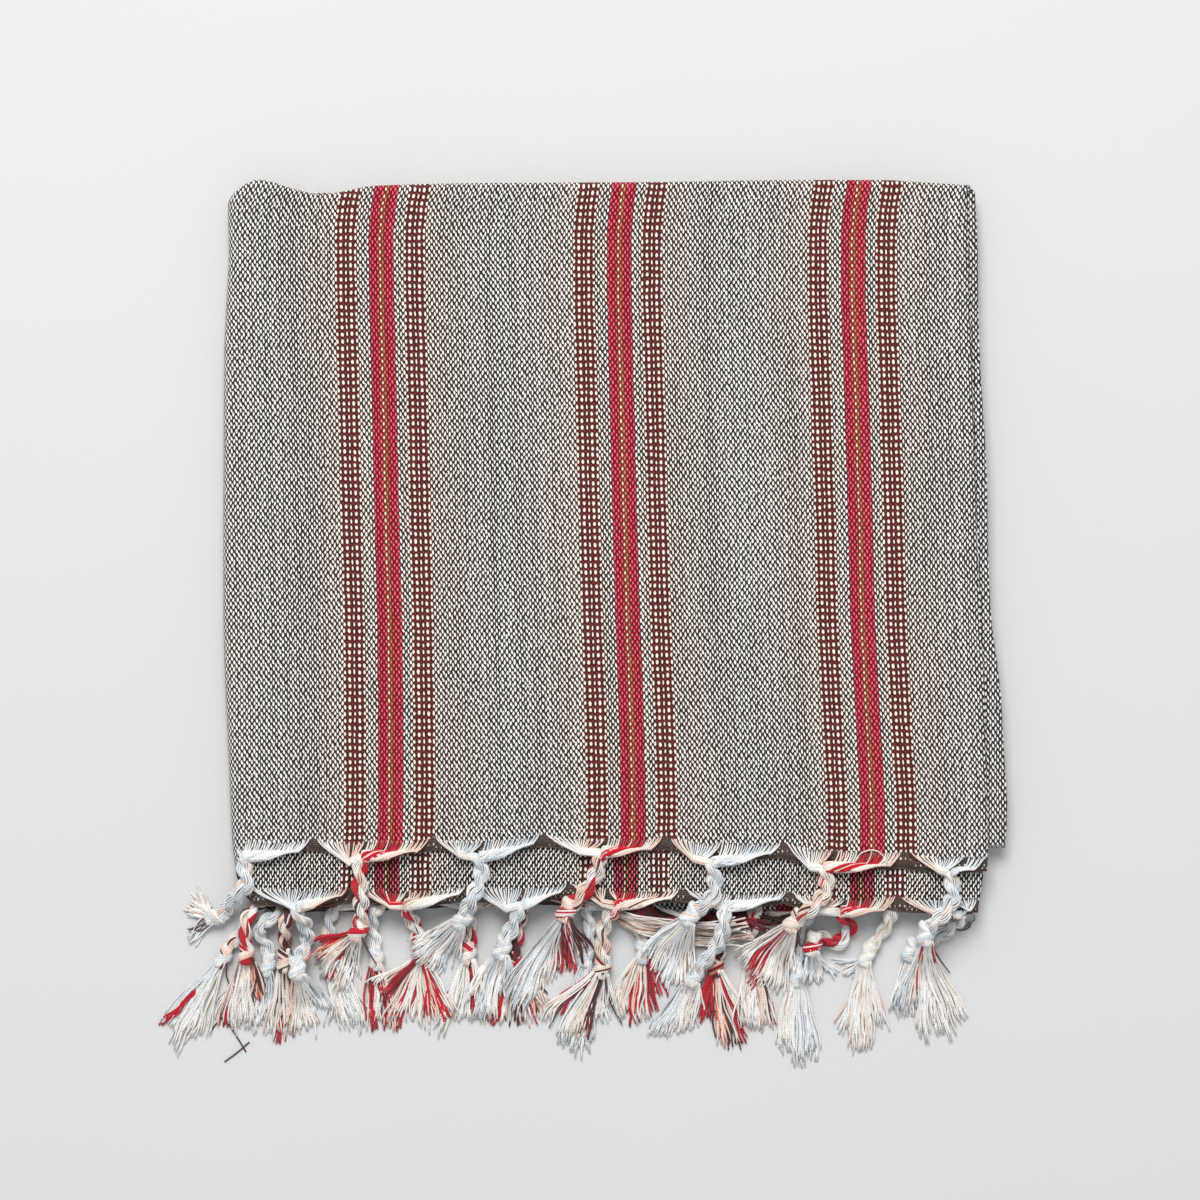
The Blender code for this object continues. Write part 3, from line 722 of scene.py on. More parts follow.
# For each tassel: the stretch of hem whose warp it gathers (left, right), the points its cord passes (the
# last is the knot), the yarns of its two plies, and the locks of its loose yarns as tip x, tip y, yarns,
# number and sideways bow
Tassel = namedtuple("Tassel", "left right path plies locks")
TASSELS = {
    "fringe_a_lower": (
        Tassel(-208, -187, ((-192, -171), (-203, -183), (-215, -199)), "lb", (
            (-253, -241, "b", 9, 3), (-246, -248, "b", 9, 2), (-248, -257, "pw", 7, 2),
            (-238, -252, "w", 8, 1), (-227, -250, "w", 3, 0), (-214, -222, "t", 1, 3))),
        Tassel(-186, -160, ((-177, -171), (-194, -183), (-190, -195), (-189, -204)), "bb", (
            (-216, -231, "w", 9, 9), (-208, -240, "b", 9, 5), (-202, -246, "w", 10, 3),
            (-194, -243, "b", 9, 0), (-187, -236, "b", 7, -2), (-198, -228, "w", 4, 8))),
        Tassel(-159, -110, ((-148, -170), (-153, -182), (-151, -196)), "bw", (
            (-148, -240, "w", 10, 1), (-142, -244, "w", 10, 0), (-136, -242, "b", 10, 0),
            (-131, -245, "w", 9, -2))),
        Tassel(-109, -36, ((-72, -170), (-67, -183), (-68, -197)), "rw", (
            (-85, -250, "w", 7, 2), (-78, -232, "w", 9, 2), (-72, -241, "w", 9, 0), (-67, -236, "R", 6, -1),
            (-62, -239, "w", 10, -2))),
        Tassel(-35, 40, ((2, -170), (5, -184), (3, -198)), "bb", (
            (-10, -255, "b", 12, 2), (-4, -260, "b", 13, 0), (3, -255, "b", 12, -2))),
        Tassel(41, 106, ((80, -181), (85, -191), (81, -204)), "do", (
            (72, -241, "R", 9, 3), (79, -238, "R", 6, 1), (85, -253, "o", 9, 0), (90, -256, "od", 8, 0),
            (97, -256, "R", 6, -3), (96, -235, "p", 8, -3), (102, -244, "w", 6, -4))),
        Tassel(107, 216, ((140, -173), (131, -188), (130, -210)), "bb", (
            (121, -257, "w", 11, 4), (126, -260, "w", 11, 2), (132, -267, "b", 11, 0),
            (139, -263, "b", 9, -4), (134, -245, "w", 6, 5))),
    ),
    "fringe_b_lower": (
        Tassel(-208, -180, ((-187, -163), (-201, -176), (-202, -196)), "sl", (
            (-217, -242, "pR", 8, 1), (-210, -246, "w", 10, 1), (-203, -243, "w", 10, 0),
            (-195, -226, "od", 9, -1))),
        Tassel(-179, -143, ((-171, -162), (-178, -178), (-179, -201)), "dl", (
            (-187, -251, "wR", 9, 1), (-182, -246, "d", 8, 0), (-176, -232, "d", 8, 0),
            (-179, -249, "p", 8, 0))),
        Tassel(-142, -70, ((-114, -162), (-126, -177), (-124, -200)), "bw", (
            (-127, -245, "R", 8, 1), (-122, -238, "w", 9, 0), (-118, -244, "R", 7, 0),
            (-114, -246, "p", 8, -1), (-127, -232, "t", 1, 2))),
        Tassel(-69, 6, ((-31, -162), (-37, -178), (-41, -203)), "ds", (
            (-58, -239, "o", 7, 1), (-53, -242, "R", 6, 0), (-48, -241, "p", 7, 0), (-38, -243, "d", 6, 0),
            (-32, -242, "p", 8, -1), (-27, -237, "o", 7, -2), (-22, -229, "p", 6, -3))),
        Tassel(7, 70, ((35, -162), (34, -178), (37, -196)), "bw", (
            (20, -233, "w", 9, 8), (25, -239, "p", 8, 6), (31, -241, "R", 6, 4), (36, -243, "p", 8, 3),
            (41, -237, "R", 5, 0), (46, -226, "R", 5, -2), (28, -217, "t", 1, 6))),
        Tassel(71, 142, ((110, -162), (103, -178), (102, -200)), "wp", (
            (97, -242, "w", 10, 1), (103, -244, "w", 10, 0), (109, -246, "w", 10, 0),
            (114, -243, "p", 9, -1))),
        Tassel(143, 216, ((179, -162), (186, -178), (173, -198)), "ww", (
            (159, -249, "w", 11, 1), (165, -257, "w", 12, 0), (173, -257, "pw", 12, 0),
            (182, -244, "w", 9, -1), (157, -205, "b", 6, -3), (161, -213, "b", 6, -2))),
    ),
    "fringe_b_upper": (
        Tassel(-200, -138, ((-172, -170), (-165, -186), (-171, -205)), "be", (
            (-175, -248, "p", 9, 1), (-169, -246, "w", 8, 0), (-162, -247, "w", 8, 0),
            (-158, -233, "b", 8, -3), (-153, -234, "b", 8, -5), (-165, -236, "b", 5, 0))),
        Tassel(-136, -69, ((-107, -169), (-101, -181), (-97, -195)), "ws", (
            (-126, -217, "w", 6, 7), (-124, -234, "t", 2, 9), (-119, -226, "R", 6, 5),
            (-115, -243, "pR", 7, 4), (-109, -236, "w", 6, 2), (-103, -239, "p", 6, 1),
            (-96, -243, "p", 6, 0), (-92, -240, "R", 5, -1), (-87, -244, "p", 5, -1),
            (-81, -240, "R", 4, -2), (-78, -236, "w", 5, -3))),
        Tassel(-67, -8, ((-36, -169), (-41, -181), (-47, -193)), "bb", (
            (-65, -226, "w", 9, 7), (-61, -241, "b", 10, 5), (-56, -238, "w", 9, 3), (-50, -226, "b", 9, 1),
            (-44, -217, "b", 8, -1))),
        Tassel(-6, 60, ((20, -169), (13, -185), (13, -205)), "lc", (
            (-24, -240, "w", 6, 9), (-22, -246, "t", 1, 7), (-15, -236, "R", 4, 6), (-12, -252, "w", 8, 4),
            (-6, -249, "p", 7, 3), (0, -248, "pt", 7, 1), (6, -238, "w", 6, 0), (12, -241, "w", 5, -1),
            (26, -242, "w", 3, 2), (23, -246, "t", 1, 3))),
        Tassel(61, 124, ((86, -170), (83, -190), (69, -210)), "bb", (
            (44, -249, "b", 11, 2), (50, -247, "b", 11, 1), (57, -247, "w", 11, 0), (64, -245, "w", 9, -1),
            (66, -232, "w", 6, -2))),
        Tassel(126, 190, ((155, -173), (162, -181), (158, -190), (152, -193), (146, -190), (140, -191)),
               "wR", (
            (136, -216, "b", 12, 0), (143, -217, "b", 13, 0), (150, -211, "b", 10, 0))),
        Tassel(192, 242, ((230, -175), (218, -187), (200, -195)), "bb", (
            (190, -235, "b", 13, 1), (196, -237, "w", 13, 0), (203, -232, "b", 13, 0))),
    ),
    "fringe_a_upper": (
        Tassel(-211, -162, ((-204, -140), (-201, -155), (-209, -166), (-218, -176)), "be", (
            (-239, -173, "w", 9, 2), (-235, -168, "w", 9, 2), (-229, -166, "w", 9, 1),
            (-226, -170, "w", 6, 0), (-238, -186, "t", 2, 1), (-238, -189, "t", 1, -1),
            (-237, -192, "b", 5, 2))),
        Tassel(-160, -90, ((-132, -139.5), (-133, -155), (-132, -170), (-133, -182)), "cs", (
            (-160, -192, "R", 8, 4), (-163, -202, "o", 6, 3), (-159, -207, "p", 7, 4),
            (-154, -212, "pR", 7, 4), (-157, -215, "w", 7, 6), (-146, -222, "w", 7, 3),
            (-137, -213, "w", 4, 1), (-125, -205, "t", 1, -2))),
        Tassel(-88, -24, ((-62, -140), (-60, -150), (-64, -161), (-70, -175)), "bb", (
            (-101, -195, "w", 10, 1), (-100, -203, "b", 10, 1), (-94, -207, "w", 10, 0),
            (-87, -208, "b", 10, 0), (-81, -200, "w", 9, -2))),
        Tassel(-22, 49, ((12, -137), (8, -151), (0, -163), (-8, -170)), "ls", (
            (-45, -226, "b", 8, 5), (-41, -235, "b", 8, 3), (-31, -226, "w", 8, 3), (-22, -217, "w", 8, 2),
            (-15, -210, "R", 6, 1), (-11, -209, "o", 4, 0), (-6, -210, "R", 7, 0), (-1, -204, "wt", 7, -1),
            (3, -196, "wt", 6, -2))),
        Tassel(52, 120, ((77, -143), (80, -154), (77, -166), (67, -173)), "be", (
            (39, -200, "b", 10, 3), (42, -208, "w", 10, 3), (50, -219, "b", 10, 2), (58, -220, "w", 10, 1),
            (64, -207, "w", 9, 0))),
        Tassel(122, 193, ((144, -146), (147, -158), (139, -169), (129, -177)), "lc", (
            (94, -203, "w", 8, 2), (97, -211, "R", 4, 1), (101, -216, "pR", 7, 1), (108, -219, "w", 9, 1),
            (117, -222, "w", 9, 0), (123, -206, "p", 7, -1), (125, -196, "pt", 5, -1))),
        Tassel(195, 243, ((220, -149), (223, -162), (216, -174), (207, -184)), "be", (
            (191, -234, "b", 8, 0), (198, -226, "p", 5, 0), (206, -252, "w", 10, 0),
            (214, -248, "w", 10, -1), (222, -250, "w", 9, -2), (230, -241, "w", 9, -3),
            (214, -209, "R", 3, -3), (208, -228, "R", 3, 2), (224, -212, "t", 1, -1))),
    ),
}
# Single yarns that lie by themselves: row, colour and points
STRAYS = (
    ("fringe_a_lower", "maroon", ((-217, -238), (-211, -246), (-203, -259))),
    ("fringe_a_lower", "maroon", ((-201, -253), (-208, -259), (-216, -265))),
    ("fringe_a_lower", "maroon", ((-217, -238), (-222, -243), (-225, -248))),
    ("fringe_b_upper", "grey", ((224, -176), (228, -183), (234, -182), (233, -176))),
    ("fringe_b_upper", "weft", ((222, -175), (227, -185), (235, -183), (235, -174))),
    ("fringe_a_upper", "cream", ((164, -142), (167, -138), (173, -135.6), (179, -137), (183, -143))),
)
# Yarns that lie in a bundle by themselves: colours, number, half of the width at both ends and the points
Bundle = namedtuple("Bundle", "row mix number widths path")
BUNDLES = (
    Bundle("fringe_a_lower", "R", 6, (0.4, 2.6), ((-233, -221), (-244, -233), (-256, -244))),
    Bundle("fringe_b_lower", "D", 26, (2.6, 3.2), (
        (25, -167), (38, -173), (50, -180), (72, -179), (92, -177), (104, -180), (118, -187))),
    Bundle("fringe_b_lower", "g", 42, (4.0, 9.5), (
        (20, -175), (32, -180), (52, -185), (76, -187), (104, -184))),
)
# Shares of each yarn colour
MIXES = {
    "w": {"white": 5, "cream": 3, "peach": 0.5},
    "b": {"blue": 5, "white": 4, "cream": 0.4},
    "p": {"peach": 3, "cream": 4, "white": 1.5, "red": 0.5, "maroon": 0.3},
    "r": {"red": 5, "peach": 2.5, "cream": 2, "maroon": 0.8},
    "R": {"red": 7, "darkred": 1, "cream": 0.6},
    "o": {"orange": 3, "peach": 3, "cream": 1, "maroon": 1, "red": 0.7},
    "d": {"maroon": 3, "darkred": 1.5, "peach": 1.5, "cream": 1},
    "t": {"maroon": 1},
    "c": {"cream": 6, "peach": 3, "white": 2, "maroon": 0.7},
    "s": {"red": 7, "white": 3, "cream": 2},
    "l": {"peach": 6, "cream": 4, "maroon": 1.4, "red": 0.8},
    "e": {"white": 5, "blue": 5, "peach": 2},
    "D": {"darkred": 5, "maroon": 4, "red": 0.7},
    "g": {"cream": 3, "peach": 4, "white": 2, "maroon": 0.3},
}
CORD_R = {"fringe_a_lower": 4.6, "fringe_b_lower": 4.6, "fringe_b_upper": 5.1, "fringe_a_upper": 5.4}
KNOT_R = {"fringe_a_lower": 5.2, "fringe_b_lower": 5.2, "fringe_b_upper": 5.7, "fringe_a_upper": 5.9}
PLY_TURN = 23.0  # length of one turn of a cord
PLY_YARN = 0.56  # radius of a yarn in a cord or round a knot
PLY_YARNS = 12  # in one ply
CORE_YARNS = 14  # straight ones in a knot
WRAPS = 7  # yarns in each of the two bands round a knot
LOOSE_YARN = 0.6  # radius
ON_FLOOR = 0.62  # lowest height of a loose yarn
CORD_POINTS, RESTING_POINTS = 42, 11  # along a cord, and those where it is laid on what is below
LOOSE_POINTS, GATHERED_POINTS = 14, 14  # along a loose yarn and a gathered one
LEAD_POINTS, FAN_POINTS = 3, 7  # of the latter, those above the strand, where it slants and where it fans
STRAND_FROM_LEFT, STRAND_FROM_RIGHT = 7, 15  # places along a strand before it enters the cord's head
COVER_Y = -170.0  # the cloth of the upper half covers the lower rows down to here
PARTING_RISE = 2.4  # of the hem, halfway between two cords
# Height of the bare weft above each hem, where the warp's last floats end: x and height
BARE = {
    "fringe_a_lower": ((-200, 5), (240, 5)),
    "fringe_b_lower": ((-200, 5), (240, 5)),
    "fringe_b_upper": ((-209, 2), (-201, 7.5), (-172, 8), (-110, 6), (-40, 6.5), (20, 5), (100, 5.5),
                       (170, 5), (235, 7.5)),
    "fringe_a_upper": ((-209, 2), (-201, 4), (-120, 5), (-60, 5), (10, 5), (80, 6.5), (150, 8), (240, 7.5)),
}
# For each cord, from its root: where the warp from the left comes together (x, y) and where the warp from the
# right begins (x); and how far above the hem its right strand ends, or below it if less than 0
Focus = namedtuple("Focus", "x y split end")
FOCUS = {
    "fringe_a_lower": ((-6, 1, 3, 1.5),) * 7,
    "fringe_b_lower": ((-6, 1, 3, 1.5),) * 7,
    "fringe_b_upper": ((-3, 1.4, 5, 3), (-8, 0.4, 3, 3), (-9.3, -2, 1.5, 2.5), (-7.7, 1.6, -5, 0.5),
                       (-5.3, 1.4, 6, 2), (-15, 2.5, 4.3, -3), (-17, 1.5, -10, -2)),
    "fringe_a_upper": ((-2.7, 2.6, 1.5, -2.5), (-7.5, -3.3, 2.7, -3), (-11.5, 2.4, 3.5, 1),
                       (-13.5, 1.2, 3.3, -2), (-10.4, 2.7, 7.3, 2), (-7.2, 0.6, 9, -1), (-6.1, 1.8, 11, -2)),
}
FOCUS = {row: [Focus(*places) for places in table] for row, table in FOCUS.items()}


def bounds_between(row):
    return [0.5 * (a.right + b.left) for a, b in zip(TASSELS[row], TASSELS[row][1:])]


def between(marks, x):
    """Linear interpolation between marks of x and value."""
    return np.interp(x, *np.array(sorted(marks)).T)


def bare_height(row, x):
    """How far above the edge the weft is bare: most where the warp parts, between cords and above each."""
    tops = [(bound, 2.2, 4.5) for bound in bounds_between(row)]
    for tassel, focus in zip(TASSELS[row][1:], FOCUS[row][1:]):
        tops.append((tassel.path[0][0] + focus.split, 1.8, 3.2))
    more = 0.0
    for top, height, half_base in tops:
        more = np.maximum(more, height * (1 - np.abs(x - top) / half_base))
    return between(BARE[row], x) + more


def bare_above(grid, half):
    """The height of the bare weft that counts at each point of the sheet."""
    middle = grid.shape[1] // 2
    out = np.full(grid.shape[:2], 2.0)
    for value, side in ((UPPER_HALF, "upper"), (LOWER_HALF, "lower")):
        rows = np.where(half == value)[0]
        for end, stretch in (("a", slice(middle)), ("b", slice(middle, None))):
            out[rows, stretch] = bare_height(f"fringe_{end}_{side}", grid[rows, stretch, 0])
    return out


def scallops(row, x):
    """The edge hangs a little lower at a cord than between two cords."""
    high = PARTING_RISE if row.endswith("upper") else 0.4
    marks = [(-400.0, 0.0), (400.0, 0.0)]
    for bound in bounds_between(row):
        marks += [(bound - 13.0, 0.15 * high), (bound, high), (bound + 13.0, 0.15 * high)]
    for tassel in TASSELS[row]:
        root = tassel.path[0][0]
        marks += [(root - 5.0, 0.0), (root, -1.0), (root + 5.0, 0.0)]
    return between(marks, x)


def room(row, y):
    """The lower rows stay below the cloth of the upper half that covers their beginnings."""
    return 12.0 + 0.9 * np.maximum(0.0, COVER_Y - y) if row.endswith("lower") else 99.0 + 0.0 * y


def picked(mix, number, clump=2.2):
    """Yarn colours in short runs, as they lie side by side; two letters share the yarns."""
    out = []
    for part, letter in enumerate(mix):
        want = number * (part + 1) // len(mix) - len(out)
        names = list(MIXES[letter])
        shares = np.array(list(MIXES[letter].values()), float)
        counts = np.floor(want * shares / shares.sum() + rng.uniform(0, 1, len(names))).astype(int)
        runs = []
        for name, count in zip(names, counts):
            while count > 0:
                size = min(count, max(1, int(rng.exponential(clump) + 0.5)))
                runs.append([name] * size)
                count -= size
        if not runs:
            runs = [[names[0]]]
        mixed = [name for k in rng.permutation(len(runs)) for name in runs[k]]
        out += (mixed * (want // len(mixed) + 1))[:want]
    return out


def bezier(a, b, c, d, t):
    """Curve from a to d that leaves towards b and arrives from c."""
    t = t[:, None]
    return (1 - t) ** 3 * a + 3 * t * (1 - t) ** 2 * b + 3 * t * t * (1 - t) * c + t ** 3 * d


def through(points, number):
    """Smooth curve through all of the points, evenly spaced."""
    p = np.array([points[0], *points, points[-1]], float)
    p[0] = 2 * p[1] - p[2]
    p[-1] = 2 * p[-2] - p[-3]
    t = np.linspace(0, 1, 12, endpoint=False)[:, None]
    line = [0.5 * (2 * b + (c - a) * t + (2 * a - 5 * b + 4 * c - d) * t ** 2
                   + (3 * b - a - 3 * c + d) * t ** 3) for a, b, c, d in zip(p, p[1:], p[2:], p[3:])]
    line = np.concatenate((*line, p[-2:-1]))
    gone = gone_along(line)
    return sampled(np.linspace(0, gone[-1], number), gone, line)


def warp_kind(k):
    """Colour of a warp yarn by its number, as in the weave."""
    k = (k + COLUMNS // 2) % COLUMNS - COLUMNS // 2
    size = abs(k)
    if size < 0.5:
        return "peach"
    if abs(k - 0.5) < 5:
        return "red"
    if 9.5 < size < 18.5:
        return "maroon" if size == 15 else "peach"
    return "white" if size > 24 else "cream"


def cord(row, tassel, hem_z, yarns):
    """Two plies twisted round each other; returns the cord's middle line."""
    cord_r = CORD_R[row]
    off = 0.42 * cord_r  # distance of a ply from the cord's middle
    ply = 0.58 * cord_r - PLY_YARN  # radius of the circle that a ply's yarns lie on
    resting_z = settle(through(tassel.path, RESTING_POINTS), cord_r, hem_z + 0.6)
    z = softened(np.linspace(0, 1, CORD_POINTS), np.linspace(0, 1, RESTING_POINTS), resting_z, 0.07)
    line = np.column_stack((through(tassel.path, CORD_POINTS), z))
    line[:, 2] = np.maximum(np.minimum(z, room(row, line[:, 1]) - 3.2), cord_r * SQUASH)
    gone = gone_along(line)
    ahead = unit(np.gradient(line, axis=0))
    side = unit(np.cross(ahead, (0.0, 0.0, 1.0)))
    up = np.cross(side, ahead)
    swell = np.clip(0.62 + gone / 14, 0, 1) * (1 + 0.05 * np.sin(gone / 5.0 + cord_r * tassel.left))
    first = rng.uniform(0, FULL_TURN)
    for which, mix in enumerate(tassel.plies):
        theta = first + math.pi * which + FULL_TURN * gone / PLY_TURN
        middle = line + (off * swell)[:, None] * (
            np.cos(theta)[:, None] * side + 0.78 * np.sin(theta)[:, None] * up)
        lines = []
        for k in range(PLY_YARNS):
            phi = FULL_TURN * k / PLY_YARNS - FULL_TURN * gone / 30 + 0.14 * np.sin(gone / 3 + k)
            r = ply * swell * (1 + 0.05 * np.sin(gone / 2.3 + 2.1 * k))
            round_ply = np.cos(phi)[:, None] * side + 0.97 * np.sin(phi)[:, None] * up
            lines.append(middle + r[:, None] * round_ply)
        yarns.add(lines, PLY_YARN, picked(mix, PLY_YARNS, 3.0))
    return line


def knot(row, number, tassel, end, way, yarns):
    """Straight yarns with two slanting bands of yarns wound round them; returns the knot's middle."""
    knot_r = KNOT_R[row]
    base = settle(np.array((end[:2], end[:2] + way * 3)), knot_r, end[2])
    centre = np.array((*(end[:2] + way * 1.5), base.max()))
    way3, side3, up3 = np.array(((*way, 0), (-way[1], way[0], 0), (0, 0, 1)))
    lines = []
    for k in range(CORE_YARNS):
        s = np.linspace(-7, 8, 8)[:, None]
        r = (knot_r - 2.2) * (1 - 0.25 * (s / 8) ** 2)
        a = FULL_TURN * k / CORE_YARNS + s * 0.06
        lines.append(centre + way3 * s + r * (np.cos(a) * side3 + 0.8 * np.sin(a) * up3))
    yarns.add(lines, 0.8, picked(tassel.plies[0], CORE_YARNS, 3.0))
    for tilt, shift, mix, grow in ((0.62, -1.8, tassel.plies[0], 0.0), (-0.5, 1.5, tassel.plies[1], 0.4)):
        lines = []
        a = (np.linspace(-0.35, FULL_TURN - 0.2, 22) + 0.9 * number)[:, None]
        for k in range(WRAPS):
            r = knot_r - 0.9 + grow - 0.14 * (k - 3) ** 2
            axis = shift + (k - 3) * 1.0 + tilt * r * np.cos(a)
            lines.append(centre + axis * way3 + r * (np.cos(a) * side3 + 0.8 * np.sin(a) * up3))
        yarns.add(lines, PLY_YARN, picked(mix, WRAPS, 1.8))
    return centre


def loose_yarns(row, tassel, centre, way, yarns):
    """The locks below a knot: yarns that run together in soft waves and rest on what is below."""
    sideways = np.array((-way[1], way[0]))
    knot_r = KNOT_R[row]
    t = np.linspace(0, 1, LOOSE_POINTS)
    turns = []
    for tip_x, tip_y, *_ in tassel.locks:
        to_tip = np.array((tip_x, tip_y)) - centre[:2]
        turns.append(math.atan2(np.dot(to_tip, sideways), np.dot(to_tip, way)))
    widest = max(0.25, max(abs(a) for a in turns))
    laid = []
    for (tip_x, tip_y, mix, count, bow), turn in zip(tassel.locks, turns):
        thin = mix == "t" or count <= 3
        count = count if thin else int(2.1 * count)
        lines = np.empty((count, LOOSE_POINTS, 3))
        colours = picked(mix, count, 3.0)
        flow, long = rng.uniform(0, 6.28), rng.uniform(3.6, 5.6)
        for k in range(count):
            lane = 2 * (k + 0.5) / count - 1
            across = np.clip(turn / widest * 0.72 + 0.34 * lane + rng.normal(0, 0.1), -1, 1)
            level = rng.uniform(0.75, 1.0) if thin else rng.uniform(0, 1)
            under_others = len(mix) > 1 and colours[k] in ("red", "darkred")
            level *= 0.3 if under_others else 1.0
            begin = centre[:2] + way * (knot_r - 2.0) + sideways * across * (knot_r - 1.1)
            tip = np.array((tip_x, tip_y)) + rng.normal(0, 0.6 if thin else 1.5, 2)
            tip = tip + sideways * lane * (0.5 if thin else 3.4)
            tip = begin + (tip - begin) * rng.uniform(*(0.98, 1.06) if under_others else (0.84, 1.02))
            size = float(np.linalg.norm(tip - begin))
            ease = begin + way * 0.33 * size + sideways * (4.2 * across + rng.normal(0, 0.7) - 0.4 * bow)
            late = tip + (begin - tip) * 0.36 - sideways * (bow * 0.8 + rng.normal(0, 1.2))
            sway = 0.75 * np.sin(t * size / long + flow + 0.4 * across) * t
            small, short = rng.uniform(0.15, 0.5), rng.uniform(3.2, 5.6)
            sway = sway + small * np.sin(t * size / short + rng.uniform(0, 6)) * t
            hook = rng.normal(0, 1.5) * eased((t - 0.5) * 2)
            flat = bezier(begin, ease, late, tip, t) + sideways * (sway + hook)[:, None]
            z = resting(flat, LOOSE_YARN, ON_FLOOR) + level * (5.0 - 3.2 * eased(t * 1.3))
            top = centre[2] + (level - 0.45) * 1.2 * knot_r * math.sqrt(max(0.1, 1 - across * across))
            z[0] = max(top, ON_FLOOR)
            hold_up(z, flat, LOOSE_SLOPE)
            for _ in range(2):
                z[1:-1] = (z[:-2] + 2 * z[1:-1] + z[2:]) / 4
            lines[k] = np.column_stack((flat, z))
        yarns.add(lines, (0.46 if thin else LOOSE_YARN) * (1 - 0.25 * t ** 5), colours)
        laid += [line[::2] for line in lines[::3]]
    for line in laid:
        lay_down(line, 1.1, 0.4, 2.5)


Strand = namedtuple("Strand", "line thick left")


def strand(row, places, thick, top, line):
    """A bundle of warp from its far end to inside a cord's head, with half thickness and distance left."""
    z = np.maximum(np.maximum(resting(places, 1.5) + 0.7 * thick, top + 0.35 * thick), 0.9 * thick + 0.6)
    blend = np.clip(1 - np.linspace(1, 0, len(z)) / 0.3, 0, 1) ** 2
    z = z * (1 - blend) + np.maximum(line[0, 2] + 0.4, 0.9 * thick + 0.6) * blend
    z = np.minimum(z, room(row, places[:, 1]) - 2.0)
    middle = np.concatenate((np.column_stack((places, z)), line[[2, 4, 6]] + (0, 0, 0.3)))
    thick = np.concatenate((thick, (2.9, 2.3, 1.6)))
    return Strand(middle, thick, gone_along(middle[::-1])[::-1])


def on_strand(bundle, left, angle, out):
    """Points on a strand: distance left to its end, angle round it and share of its thickness."""
    points = sampled(left, bundle.left[::-1], bundle.line[::-1])
    r = out * np.interp(left, bundle.left[::-1], bundle.thick[::-1])
    points[:, 1] += r * np.sin(angle)
    points[:, 2] += 0.8 * r * np.cos(angle)
    return points


def edge_at(hem, x):
    """The y and z of the cloth's edge."""
    return [np.interp(x, hem[:, 0], hem[:, axis]) for axis in (1, 2)]


def slanting(begin, run):
    """The first points of a yarn that comes down straight to its strand."""
    shares = np.array((0.0, 0.33, 0.7))
    gap = run[0] - begin
    return np.column_stack((begin[0] + gap[0] * shares ** 1.5, begin[1] + gap[1] * shares,
                            begin[2] + gap[2] * shares ** 0.7 + 0.3 * (shares > 0)))


def fanned(begin, run, odd, least):
    """The first points of a yarn that lies on the cloth's edge in a fan."""
    free = np.linspace(0, 1, FAN_POINTS, endpoint=False)
    gap = run[0] - begin
    flat = bezier(begin[:2], begin[:2] + gap[:2] * (0.18, 0.36) - (0.3 * WARP * odd, 0),
                  run[0, :2] - gap[:2] * (0.30, 0.30), run[0, :2], free)
    z = np.maximum(begin[2] + gap[2] * free, resting(flat, 0.8, least)) + 0.35 - 0.45 * odd
    z[0] = begin[2]
    return np.column_stack((flat, z))


